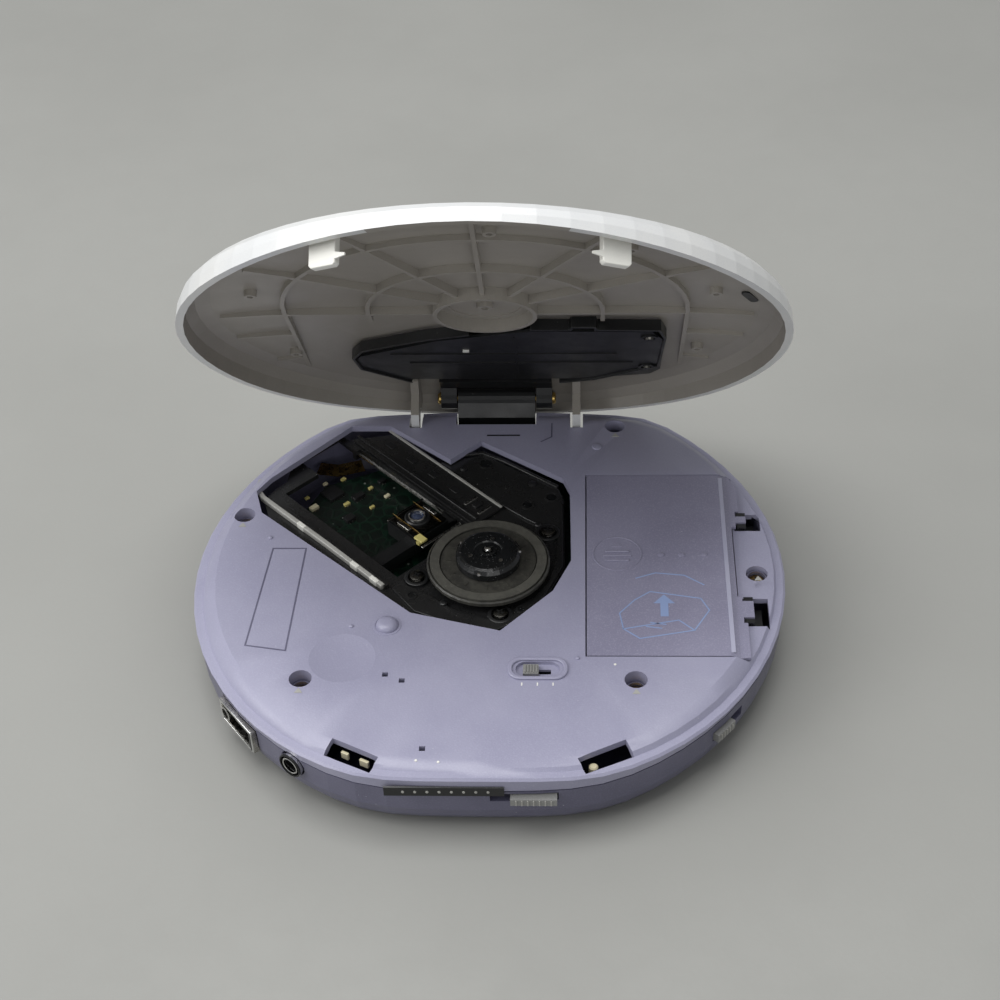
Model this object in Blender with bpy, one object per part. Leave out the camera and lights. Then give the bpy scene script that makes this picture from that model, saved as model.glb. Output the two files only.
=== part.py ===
# Portable compact disc player, lid open. Metres, +Z up.
# The disc spindle stands on the origin and the base rests on z = 0.
# The front is at -Y and the lid hinge at +Y. The lid is drawn closed, then turned open.
import math

import bmesh
import bpy
from mathutils import Matrix, Vector

# Clearances
gap = 0.0003
pin_clearance = 0.0003
overrun = 0.003
full_turn = 2 * math.pi

# Case outline
body_radius = 0.0686
rear_flat_y = 0.0575
front_flat_y = 0.0654
corner_sharpness = 40
shell_steps = 64
round_steps = 16
rim_wave = 0.0011
rim_ripple = 0.0004

# Case heights and walls
deck_height = 0.0170
deck_thickness = 0.0016
rim_drop = 0.0021
split_height = 0.0122
case_wall = 0.0021
floor_thickness = 0.0015
shoulder_width = 0.0053
shoulder_step = 0.0029
shoulder_drop = 0.0010
rim_edge = 0.0005
ledge_width = 0.0021
bottom_inset = 0.0040
bowl_power = 4

# Lid
lid_height = 0.0252
lid_wall = 0.0017
lip_wall = 0.00175
lip_bend = 0.0030
lid_open_degrees = 54.0
hinge_y = 0.0600
hinge_rise = 0.0015
rib_thickness = 0.0010
rib_low = 0.0214
hub_ring_radius = 0.0118
hub_ring_low = 0.0204
inner_arc_radius = 0.0265
outer_arc_radius = 0.0455

# Hinge
hinge_barrel_radius = 0.0027
hinge_pin_radius = 0.0010
hinge_block_half = 0.0098
hinge_knuckle_width = 0.0040
hinge_foot_height = 0.0100
hinge_foot_thickness = 0.0020
hinge_foot_front = 0.0085
hinge_plate_reach = 0.0092
arm_x = 0.0203
arm_thickness = 0.0020
arm_reach = 0.0095
arm_slot_side = 0.0006

# Disc drive
turntable_radius = 0.01435
turntable_thickness = 0.0014
turntable_rise = 0.0008
friction_ring_outer = 0.0136
friction_ring_inner = 0.0114
friction_ring_rise = 0.0003
friction_groove = 0.0006
hub_radius = 0.0075
hub_height = 0.0031
shaft_radius = 0.0008
spindle_motor_radius = 0.0110
spindle_motor_height = 0.0036
chassis_drop = 0.0026
chassis_thickness = 0.0012
chassis_clearance = 0.0015
chassis_lip_height = 0.0010
chassis_lip_width = 0.0012

# Pickup. It travels outward along the line that runs back and left from the spindle.
pickup_direction_degrees = 135.0
lens_inner_track = 0.0252
pickup_travel = 0.0318
pickup_length = 0.0102
pickup_width = 0.0104
pickup_low = 0.0100
pickup_block_top = 0.0142
pickup_plate_thickness = 0.0004
lens_radius = 0.0021
lens_height = 0.0011
rod_radius = 0.0010
rod_height = 0.0113
near_rod_offset = 0.0090
far_rod_offset = -0.0182
window_near = 0.0075
window_far = -0.0165
window_start = 0.0135
window_end = 0.0555
sled_bay_end = 0.0626
lead_screw_offset = 0.0128
lead_screw_radius = 0.0010
lead_screw_end = 0.0520
lug_half_width = 0.0016
rail_cover_width = 0.0093
feed_motor_radius = 0.0020
feed_motor_length = 0.0105

# Battery door and its bay
door_left = 0.0228
door_right = 0.0570
door_front = -0.0299
door_rear = 0.0312
door_thickness = 0.0011
door_bend = 0.0545
door_tab_drop = 0.0008
door_tab_thickness = 0.0008
door_axis_x = 0.0594
door_axis_drop = 0.0021
door_barrel_radius = 0.00105
door_pin_radius = 0.0005
door_tab_reach = 0.0011
door_tab_short = 0.0005
door_slide = 0.0022
bay_wall = 0.0009
bay_right = 0.0520
bay_floor = 0.0066
sill_depth = 0.0017
sill_right = 0.0642

# Screws and posts
screw_hole_radius = 0.00255
screw_cup_radius = 0.0036
screw_seat_height = 0.0112
screw_cup_low = 0.0096
screw_post_radius = 0.0031
screw_head_radius = 0.0021
screw_head_height = 0.0013
screw_shank_radius = 0.0009
screw_bore_radius = 0.0012
screw_tip_height = 0.0040
chassis_post_radius = 0.0022
chassis_screw_head_radius = 0.0018
chassis_screw_head_height = 0.0007
damper_radius = 0.0023
board_low = 0.0070
board_thickness = 0.0010

# Front latch and slides
latch_slot_length = 0.0113
latch_slot_width = 0.0038
latch_slot_tilt_degrees = 27.0
hook_thickness = 0.0016
hook_stem = 0.0020
hook_foot = 0.0056
hook_foot_height = 0.0012
hook_low = 0.0134
open_travel = 0.0040
open_knob_left = 0.0068
open_knob_right = 0.0166
open_knob_height = 0.0018
open_knob_low = 0.0094
open_knob_proud = 0.0008
latch_plate_thickness = 0.0012
latch_bar_inset = 0.0020
latch_nose_x = -0.0026
latch_nose_y = 0.0006
latch_nose_radius = 0.0010
latch_nose_top = 0.0142
hold_azimuth_degrees = 50.0
hold_height = 0.0086
hold_knob_length = 0.0060
hold_knob_height = 0.0022
hold_travel = 0.0040
hold_proud = 0.0007
hold_depth = 0.0034
mode_recess_length = 0.0098
mode_recess_width = 0.0046
mode_recess_depth = 0.0009
mode_knob_length = 0.0034
mode_knob_width = 0.0028
mode_travel = 0.0030
mode_knob_proud = 0.0001
mode_stem_low = 0.0130

# Side sockets
jack_azimuth_degrees = -36.0
jack_height = 0.0098
jack_bore_radius = 0.00175
jack_barrel_radius = 0.0023
jack_ring_radius = 0.0030
jack_ring_depth = 0.0009
jack_body_width = 0.0080
jack_body_height = 0.0062
jack_body_length = 0.0085
socket_azimuth_degrees = -51.5
socket_height = 0.0082
socket_width = 0.0136
socket_tall = 0.0064
socket_depth = 0.0070
socket_wall = 0.0010

# Lid electronics and keys
cover_low = 0.0201
cover_thickness = 0.0007
lid_board_low = 0.0211
lid_board_thickness = 0.0006
display_thickness = 0.0006
display_length = 0.0340
display_width = 0.0120
display_y = 0.0290
window_thickness = 0.0009
window_recess_rim = 0.0012
key_radius = 0.0032
key_proud = 0.0006
key_low = 0.0222

# Places on the plan, as shares of the case radius, front at -Y
case_screw_shares = [(-0.863, 0.245), (-0.580, -0.541), (0.488, -0.541), (0.904, -0.023), (0.437, 0.735)]
chassis_screw_shares = [(-0.242, -0.041), (0.047, -0.219), (0.198, 0.185)]
opening_shares = [
    (-0.838, 0.372), (-0.805, 0.258), (-0.249, -0.241), (0.050, -0.324), (0.220, -0.136), (0.280, 0.012),
    (0.274, 0.373), (0.250, 0.439), (-0.051, 0.650), (-0.157, 0.545), (-0.385, 0.736), (-0.532, 0.736),
    (-0.794, 0.445),
]
board_shares = [
    (-0.62, 0.55), (-0.78, 0.20), (-0.72, -0.28), (-0.40, -0.52), (-0.30, -0.72), (0.05, -0.74), (0.29, -0.50),
    (0.29, 0.62), (-0.30, 0.70),
]
board_pad_shares = [(-0.66, 0.00), (0.02, -0.62), (-0.20, 0.62)]
slot_centre_shares = (0.390, 0.855)
mode_switch_shares = (0.176, -0.497)
square_hole_shares = [(-0.310, -0.522), (-0.255, -0.548), (-0.172, -0.834)]
cover_shares = [
    (-0.487, 0.480), (-0.455, 0.418), (-0.180, 0.250), (0.143, 0.146), (0.553, 0.160), (0.596, 0.252),
    (0.595, 0.582), (0.560, 0.640), (0.330, 0.700), (-0.330, 0.700), (-0.480, 0.545),
]
cover_screw_shares = [(0.545, 0.215), (0.545, 0.545)]
key_shares = [(-0.28, 0.60), (-0.095, 0.60), (0.095, 0.60), (0.28, 0.60)]
key_names = ["key_back", "key_play", "key_stop", "key_next"]
tab_spans_shares = [(0.195, 0.270), (-0.270, -0.150)]
bowl_height_shares = [0.0, 0.04, 0.13, 0.28, 0.50, 1.0]
lid_outer_shares = [
    (0.0, 0.0, 1.0), (0.002, 0.24, 0.5), (0.013, 0.46, 0.15), (0.038, 0.63, 0), (0.095, 0.77, 0),
    (0.204, 0.87, 0), (0.437, 0.96, 0),
]
lid_inner_shares = [(0.437, 0.96, 0), (0.204, 0.87, 0), (0.105, 0.79, 0), (0.058, 0.68, 0)]
spoke_degrees = (-150, -120, -90, -60, -30)
spoke_share = 0.84
spoke_run_out_share = 0.13
side_rib_shares = [(0.022, 0.165, 0.88, 0.175), (0.235, 0.660, 0.86, 0.160), (0.490, 0.663, 0.76, 0.088)]
inner_arc_run_share = 0.25
outer_arc_run_share = 0.90
arm_shares = [
    (-0.21, -0.32), (0.21, -0.23), (0.34, 0.05), (0.38, 0.18), (0.32, 0.37), (-1.05, 0.45), (-1.14, 0.14),
    (-0.74, -0.11),
]
contact_shares = [(0.20, 1), (0.32, 0), (0.68, 1), (0.80, 0)]
tab_rear_share = 0.405
tab_front_share = -0.432
square_hole_side = 0.0013
cover_screw_head_radius = 0.0011
cover_screw_head_height = 0.0005

# The three shells take many cuts and joins, which the manifold solver keeps closed.
shells_with_many_cuts = ("lower_case", "upper_case", "lid_shell")

# Heights that follow from the sizes above
rim_height = deck_height - rim_drop
deck_under = deck_height - deck_thickness
hinge_height = deck_height + hinge_rise
chassis_top = deck_height - chassis_drop
chassis_low = chassis_top - chassis_thickness
turntable_top = deck_height + turntable_rise
turntable_low = turntable_top - turntable_thickness
hub_top = turntable_top + hub_height
step_height = deck_height - door_tab_drop - door_tab_thickness - gap
door_axis_height = deck_height - door_axis_drop
lip_height = rim_height + gap
pickup_direction = math.radians(pickup_direction_degrees)


def clear_scene():
    for item in list(bpy.data.objects):
        bpy.data.objects.remove(item, do_unlink=True)


def plan(share):
    return (share[0] * body_radius, share[1] * body_radius)


# The case outline is a circle with a flat back and a flat front, softened where they meet.
def case_radius(angle, inset):
    total = (body_radius - inset) ** -corner_sharpness
    across = math.sin(angle)
    if across > 0:
        total += ((rear_flat_y - inset) / across) ** -corner_sharpness
    if across < 0:
        total += ((front_flat_y - inset) / -across) ** -corner_sharpness
    return total ** (-1 / corner_sharpness)


def round_radius(angle, inset):
    return body_radius - inset


# The parting line runs a little high at the front and back and low at the sides.
def rim_lift(angle):
    return rim_ripple * math.cos(4 * angle) - rim_wave * math.cos(2 * angle)


# Skin two neighbouring rings; a ring of one point closes a cap.
def skin(bm, first, second):
    count = max(len(first), len(second))
    for index in range(count):
        after = (index + 1) % count
        if len(first) == 1:
            bm.faces.new((first[0], second[after], second[index]))
        elif len(second) == 1:
            bm.faces.new((first[index], first[after], second[0]))
        else:
            bm.faces.new((first[index], first[after], second[after], second[index]))


def finish_mesh(bm):
    bmesh.ops.recalc_face_normals(bm, faces=bm.faces)
    return bm


# Rings are (inset, height, share of the rim lift); an inset of None is the centre point.
def shell(rings, radius_at):
    bm = bmesh.new()
    loops = []
    for inset, height, lift_share in rings:
        if inset is None:
            loops.append([bm.verts.new((0, 0, height))])
            continue
        loop = []
        for index in range(shell_steps):
            angle = full_turn * index / shell_steps
            radius = radius_at(angle, inset)
            lift = lift_share * rim_lift(angle)
            loop.append(bm.verts.new((radius * math.cos(angle), radius * math.sin(angle), height + lift)))
        loops.append(loop)
    for first, second in zip(loops, loops[1:]):
        skin(bm, first, second)
    return finish_mesh(bm)


# A turned solid about a vertical line; profile points are (radius, height).
def turned(profile, centre=(0, 0), steps=round_steps, hollow=False):
    bm = bmesh.new()
    loops = []
    for radius, height in profile:
        if radius == 0:
            loops.append([bm.verts.new((centre[0], centre[1], height))])
            continue
        loop = []
        for index in range(steps):
            angle = full_turn * (index + 0.5) / steps
            loop.append(bm.verts.new((centre[0] + radius * math.cos(angle),
                                      centre[1] + radius * math.sin(angle), height)))
        loops.append(loop)
    if hollow:
        loops.append(loops[0])
    for first, second in zip(loops, loops[1:]):
        skin(bm, first, second)
    return finish_mesh(bm)


def disc(radius, low, high, centre=(0, 0), steps=round_steps):
    return turned([(0, low), (radius, low), (radius, high), (0, high)], centre, steps)


def ring(outer, inner, low, high, centre=(0, 0), steps=round_steps):
    return turned([(outer, low), (outer, high), (inner, high), (inner, low)], centre, steps, hollow=True)


# A straight prism. The outline lies across the axis: Z takes (x, y), X takes (y, z), Y takes (x, z).
def prism(outline, low, high, axis="Z"):
    bm = bmesh.new()
    places = {"Z": lambda a, b, c: (a, b, c), "X": lambda a, b, c: (c, a, b), "Y": lambda a, b, c: (a, c, b)}
    place = places[axis]
    first = [bm.verts.new(place(a, b, low)) for a, b in outline]
    second = [bm.verts.new(place(a, b, high)) for a, b in outline]
    bm.faces.new(first)
    bm.faces.new(second)
    skin(bm, first, second)
    return finish_mesh(bm)


def rectangle(left, right, low, high):
    return [(left, low), (right, low), (right, high), (left, high)]


def block(left, right, front, rear, low, high):
    return prism(rectangle(left, right, front, rear), low, high)


def arc(centre, radius, start_degrees, end_degrees, steps):
    points = []
    for index in range(steps + 1):
        angle = math.radians(start_degrees + (end_degrees - start_degrees) * index / steps)
        points.append((centre[0] + radius * math.cos(angle), centre[1] + radius * math.sin(angle)))
    return points


def obround(centre, length, width):
    half = (length - width) / 2
    right = arc((centre[0] + half, centre[1]), width / 2, -90, 90, 8)
    left = arc((centre[0] - half, centre[1]), width / 2, 90, 270, 8)
    return right + left


# Move every edge of an outline inward by one distance.
def inset_outline(outline, distance):
    area = sum(a[0] * b[1] - b[0] * a[1] for a, b in zip(outline, outline[1:] + outline[:1]))
    side = 1 if area > 0 else -1
    lines = []
    for a, b in zip(outline, outline[1:] + outline[:1]):
        along = (Vector(b) - Vector(a)).normalized()
        inward = Vector((-along.y, along.x)) * side
        lines.append((Vector(a) + inward * distance, along))
    points = []
    for (p, d), (q, e) in zip(lines[-1:] + lines[:-1], lines):
        cross = d.x * e.y - d.y * e.x
        reach = ((q.x - p.x) * e.y - (q.y - p.y) * e.x) / cross
        points.append(tuple(p + d * reach))
    return points


def joined(parts):
    result = parts[0]
    for extra in parts[1:]:
        mesh = bpy.data.meshes.new("extra")
        extra.to_mesh(mesh)
        extra.free()
        result.from_mesh(mesh)
        bpy.data.meshes.remove(mesh)
    return result


def turned_to(bm, matrix):
    bmesh.ops.transform(bm, matrix=matrix, verts=bm.verts)
    return bm


# Along the pickup's path: u outward from the spindle, v to its right-hand rear side.
def pickup_frame():
    return Matrix.Rotation(pickup_direction, 4, "Z") @ Matrix.Scale(-1, 4, Vector((0, 1, 0)))


def along_pickup(bm):
    turned_to(bm, pickup_frame())
    bmesh.ops.recalc_face_normals(bm, faces=bm.faces)
    return bm


# Stand a solid drawn about +X at a place on the side wall, facing out.
def on_side(bm, azimuth_degrees, height, radius):
    angle = math.radians(azimuth_degrees - 90)
    place = Matrix.Translation((radius * math.cos(angle), radius * math.sin(angle), height))
    return turned_to(bm, place @ Matrix.Rotation(angle, 4, "Z"))


def lying(bm):
    return turned_to(bm, Matrix.Rotation(math.pi / 2, 4, "Y"))


def holder(name, place, parent=None):
    empty = bpy.data.objects.new(name, None)
    bpy.context.collection.objects.link(empty)
    empty.empty_display_size = 0.1 * body_radius
    empty.parent = parent
    base = world_place(parent)
    empty.location = Vector(place) - base
    return empty


def world_place(item):
    place = Vector((0, 0, 0))
    while item is not None:
        place += item.location
        item = item.parent
    return place


def add_object(name, bm, origin, parent):
    mesh = bpy.data.meshes.new(name)
    bmesh.ops.translate(bm, verts=bm.verts, vec=-Vector(origin))
    bm.to_mesh(mesh)
    bm.free()
    item = bpy.data.objects.new(name, mesh)
    bpy.context.collection.objects.link(item)
    item.parent = parent
    item.location = Vector(origin) - world_place(parent)
    return item


def add_piece(name, bm, colour, roughness, metallic=0.0, origin=None, parent=None):
    if origin is None:
        origin = world_place(parent)
    item = add_object(name, bm, origin, parent)
    item.data.shade_smooth()
    item.data.set_sharp_from_angle(angle=math.radians(30))
    material = bpy.data.materials.new(name + "_finish")
    material.use_nodes = True
    surface = material.node_tree.nodes["Principled BSDF"]
    surface.inputs["Base Color"].default_value = (*colour, 1)
    surface.inputs["Roughness"].default_value = roughness
    surface.inputs["Metallic"].default_value = metallic
    item.data.materials.append(material)
    return item


# Copies of one piece share its mesh. The piece is drawn on the Z axis at its own height.
def add_copies(name, bm, places, colour, roughness, metallic=0.0):
    for index, (x, y) in enumerate(places):
        title = name + "_" + str(index + 1)
        if index == 0:
            first = add_piece(title, bm, colour, roughness, metallic, (0, 0, 0))
            first.location = (x, y, 0)
            continue
        copy = bpy.data.objects.new(title, first.data)
        bpy.context.collection.objects.link(copy)
        copy.location = (x, y, 0)


def shape_with(item, bm, operation, name):
    tool = add_object(item.name + "_" + name, bm, world_place(item), item.parent)
    tool.hide_render = True
    tool.display_type = "WIRE"
    step = item.modifiers.new(name, "BOOLEAN")
    step.operation = operation
    step.solver = "MANIFOLD" if item.name in shells_with_many_cuts else "EXACT"
    step.object = tool
    return item


def cut(item, parts, name):
    return shape_with(item, joined(parts), "DIFFERENCE", "cut_" + name)


def fuse(item, parts, name):
    return shape_with(item, joined(parts), "UNION", "add_" + name)


# Colours read from the photograph
lavender = (0.37, 0.36, 0.48)
dark_lavender = (0.20, 0.19, 0.27)
black_plastic = (0.015, 0.015, 0.017)
soft_black = (0.03, 0.03, 0.032)
grey_plastic = (0.35, 0.35, 0.35)
pearl_white = (0.78, 0.78, 0.76)
steel = (0.62, 0.61, 0.59)
brass = (0.60, 0.45, 0.22)
cream = (0.72, 0.66, 0.48)
board_green = (0.02, 0.09, 0.05)


# Latch slots are symmetric; side is -1 on the left and 1 on the right.
def slot_matrix(side):
    x = slot_centre_shares[0] * body_radius * side
    y = -slot_centre_shares[1] * body_radius
    return Matrix.Translation((x, y, 0)) @ Matrix.Rotation(math.radians(latch_slot_tilt_degrees) * side, 4, "Z")


def upper_case():
    skirt = split_height + gap
    rings = [
        (None, deck_height, 0), (shoulder_width, deck_height, 0),
        (shoulder_step, deck_height - shoulder_drop, 0.6), (ledge_width, rim_height, 1.0),
        (rim_edge, rim_height - gap / 4, 1.0), (0, rim_height - 2 * gap, 1.0), (gap, skirt, 0),
        (case_wall, skirt, 0),
        (case_wall, rim_height - case_wall * 0.6, 0.4), (shoulder_width - gap, deck_under, 0), (None, deck_under, 0),
    ]
    item = add_piece("upper_case", shell(rings, case_radius), lavender, 0.42, 0.3)
    sill = [
        (door_bend - case_wall, door_front - 2 * case_wall), (door_right, door_front - gap),
        (sill_right, tab_front_share * 0.5 * body_radius), (sill_right, tab_rear_share * 0.5 * body_radius),
        (door_right, door_rear + gap), (door_bend - case_wall, door_rear + case_wall),
    ]
    cups = [disc(screw_cup_radius, screw_cup_low, deck_under + deck_thickness / 2, plan(share))
            for share in case_screw_shares]
    fuse(item, cups, "screw_cups")
    fuse(item, [prism(sill, deck_under - sill_depth, deck_under + deck_thickness / 2)], "door_sill")
    step = [
        (door_bend, deck_height), (door_right, step_height), (body_radius + overrun, step_height),
        (body_radius + overrun, deck_height + overrun), (door_bend, deck_height + overrun),
    ]
    cut(item, [prism(step, door_front - gap, door_rear + gap, "Y")], "side_step")
    holes = []
    for share in case_screw_shares:
        holes.append(turned([(0, screw_cup_low - overrun), (screw_bore_radius, screw_cup_low - overrun),
                             (screw_bore_radius, screw_seat_height), (screw_hole_radius, screw_seat_height),
                             (screw_hole_radius, deck_height + overrun), (0, deck_height + overrun)],
                            plan(share)))
    cut(item, holes, "screw_holes")
    low = deck_under - overrun
    high = deck_height + overrun
    opening = prism([plan(share) for share in opening_shares], chassis_low, high)
    door = block(door_left - gap, door_right + gap, door_front - gap, door_rear + gap, low, high)
    pockets = [opening, door]
    for side in (-1, 1):
        slot = block(-latch_slot_length / 2, latch_slot_length / 2, -latch_slot_width / 2, latch_slot_width / 2,
                     low, high)
        pockets.append(turned_to(slot, slot_matrix(side)))
    for share in square_hole_shares:
        x, y = plan(share)
        half = square_hole_side / 2
        pockets.append(block(x - half, x + half, y - half, y + half, low, high))
    cut(item, pockets, "openings")
    slots = []
    for side in (-1, 1):
        half = arm_thickness / 2 + arm_slot_side
        slots.append(block(side * arm_x - half, side * arm_x + half, hinge_y - arm_reach - arm_slot_side,
                           rear_flat_y + overrun, chassis_post_radius, high))
    half = hinge_block_half + gap
    slots.append(block(-half, half, hinge_y - hinge_foot_front - gap, rear_flat_y + overrun,
                       hinge_foot_height - gap, high))
    cut(item, slots, "hinge_slots")
    pocket_left = door_axis_x - door_barrel_radius - 2 * gap
    swing = math.hypot(door_tab_reach, door_axis_drop - door_tab_drop)
    pocket_right = door_axis_x + door_slide + swing + 2 * gap
    pockets = []
    for low_share, high_share in tab_spans_shares:
        pockets.append(block(pocket_left, pocket_right, low_share * body_radius - gap,
                             high_share * body_radius + gap, low, high))
    cut(item, pockets, "slider_pockets")
    jack_room = lying(disc(jack_ring_radius + gap, -case_wall - overrun, overrun))
    cut(item, [on_side(jack_room, jack_azimuth_degrees, jack_height, body_radius)], "jack_notch")
    x, y = plan(mode_switch_shares)
    recess = prism(obround((x, y), mode_recess_length, mode_recess_width), deck_height - mode_recess_depth, high)
    cut(item, [recess], "mode_recess")
    reach = (mode_travel + mode_knob_length) / 2 - gap
    cut(item, [block(x - reach, x + reach, y - mode_knob_width / 4, y + mode_knob_width / 4, low, high)],
        "mode_slot")


# How far the bowl has drawn in at a height
def bowl_inset(height):
    return gap + (bottom_inset - gap) * (1 - height / split_height) ** bowl_power


def lower_case():
    heights = [share * split_height for share in bowl_height_shares]
    inner_heights = [height for height in heights if height > floor_thickness]
    rings = [(None, 0, 0)]
    rings += [(bowl_inset(height), height, 0) for height in heights]
    rings += [(bowl_inset(height) + case_wall, height, 0) for height in reversed(inner_heights)]
    rings += [(bowl_inset(floor_thickness) + case_wall, floor_thickness, 0), (None, floor_thickness, 0)]
    item = add_piece("lower_case", shell(rings, case_radius), dark_lavender, 0.5, 0.2)
    root = floor_thickness / 2
    posts = [disc(screw_post_radius, root, screw_cup_low - gap, plan(share)) for share in case_screw_shares]
    damper_low = chassis_low - gap - damper_height() - gap
    posts += [disc(chassis_post_radius, root, damper_low, plan(share)) for share in chassis_screw_shares]
    posts += [disc(chassis_post_radius, root, board_low - gap, plan(share)) for share in board_pad_shares]
    half = hinge_block_half - 2 * gap
    posts.append(block(-half, half, hinge_y - hinge_foot_front, rear_flat_y - case_wall / 2, root,
                       hinge_foot_height - gap))
    bay_half = bay_wall * 2
    for y in (door_front * 0.6, door_rear * 0.6):
        posts.append(block(door_left + bay_half, bay_right - bay_half, y - bay_half, y + bay_half, root,
                           bay_floor - gap))
    fuse(item, posts, "posts")
    holes = []
    for share in case_screw_shares:
        holes.append(disc(screw_bore_radius, screw_tip_height - gap, split_height, plan(share)))
    for share in chassis_screw_shares:
        holes.append(disc(screw_bore_radius, screw_tip_height + gap, split_height + overrun, plan(share)))
    cut(item, holes, "bores")
    openings = []
    half = arm_thickness / 2 + arm_slot_side
    for side in (-1, 1):
        openings.append(block(side * arm_x - half, side * arm_x + half, hinge_y - arm_reach - arm_slot_side,
                              rear_flat_y + overrun, hinge_height - arm_reach - arm_slot_side,
                              split_height + overrun))
    half = hinge_block_half + gap
    openings.append(block(-half, half, hinge_y - hinge_foot_front - gap, rear_flat_y + overrun,
                          hinge_foot_height - gap, split_height + overrun))
    openings.append(block(open_knob_left - open_travel - gap, open_knob_right + gap, -front_flat_y - overrun,
                          -front_flat_y + case_wall + overrun, open_knob_low - gap,
                          open_knob_low + open_knob_height + gap))
    openings.append(on_side(lying(disc(jack_ring_radius + gap, -case_wall - overrun, overrun)),
                            jack_azimuth_degrees, jack_height, body_radius))
    half = socket_width / 2 + gap
    tall = socket_tall / 2 + gap
    openings.append(on_side(block(-case_wall - overrun, overrun, -half, half, -tall, tall),
                            socket_azimuth_degrees, socket_height, body_radius))
    half = hold_knob_height / 2 + gap
    openings.append(on_side(block(-case_wall - overrun, overrun, -hold_knob_length / 2 - gap,
                                  hold_knob_length / 2 + hold_travel + gap, -half, half),
                            hold_azimuth_degrees, hold_height, body_radius))
    cut(item, openings, "openings")


def damper_height():
    return 3 * gap


def case_fasteners():
    seat = screw_seat_height + gap
    profile = [
        (0, screw_tip_height), (screw_shank_radius, screw_tip_height), (screw_shank_radius, seat),
        (screw_head_radius, seat), (screw_head_radius, seat + screw_head_height * 0.6),
        (screw_head_radius * 0.7, seat + screw_head_height), (0, seat + screw_head_height),
    ]
    places = [plan(share) for share in case_screw_shares]
    add_copies("case_screw", turned(profile, steps=round_steps), places, brass, 0.35, 1.0)


def boards_and_bay():
    board = add_piece("main_board", prism([plan(share) for share in board_shares], board_low,
                                          board_low + board_thickness), board_green, 0.5)
    clear = 2 * gap
    low = board_low - overrun
    high = board_low + board_thickness + overrun
    holes = [disc(chassis_post_radius + clear, low, high, plan(share)) for share in chassis_screw_shares]
    holes += [disc(screw_post_radius + clear, low, high, plan(share)) for share in case_screw_shares[:2]]
    cut(board, holes, "post_holes")
    left = door_left
    top = deck_height - door_thickness - gap
    bay = block(left, bay_right, door_front, door_rear, bay_floor, top)
    item = add_piece("battery_bay", bay, soft_black, 0.6)
    cut(item, [block(left + bay_wall, bay_right - bay_wall, door_front + bay_wall, door_rear - bay_wall,
                     bay_floor + bay_wall, top + overrun)], "hollow")
    rail_low = door_axis_height - door_barrel_radius - 5 * gap
    rails = []
    for low_share, high_share in tab_spans_shares:
        rails.append(block(bay_right - bay_wall / 2, door_axis_x + door_barrel_radius + door_slide,
                           low_share * body_radius, high_share * body_radius, rail_low - 2 * gap - bay_wall,
                           rail_low - 2 * gap))
    fuse(item, rails, "slider_rails")
    inner_low = bay_floor + bay_wall + gap
    pack_right = bay_right - bay_wall - gap
    pack = block(left + bay_wall + gap, pack_right, door_front + bay_wall + 4 * gap, door_rear - bay_wall - 4 * gap,
                 inner_low, top - 2 * gap)
    add_piece("battery_pack", pack, grey_plastic, 0.4)
    y = door_front + bay_wall + gap
    middle = (inner_low + top) / 2
    strip = []
    for near, far in zip(contact_shares, contact_shares[1:]):
        x_near = left + (bay_right - left) * near[0]
        x_far = left + (bay_right - left) * far[0]
        strip.append((x_near, inner_low if near[1] else middle))
        strip.append((x_far, inner_low if near[1] else middle))
    strip += [(strip[-1][0], top - 4 * gap), (strip[0][0], top - 4 * gap)]
    add_piece("battery_contact", prism(strip, y, y + 2 * gap, "Y"), steel, 0.3, 1.0)


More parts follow.
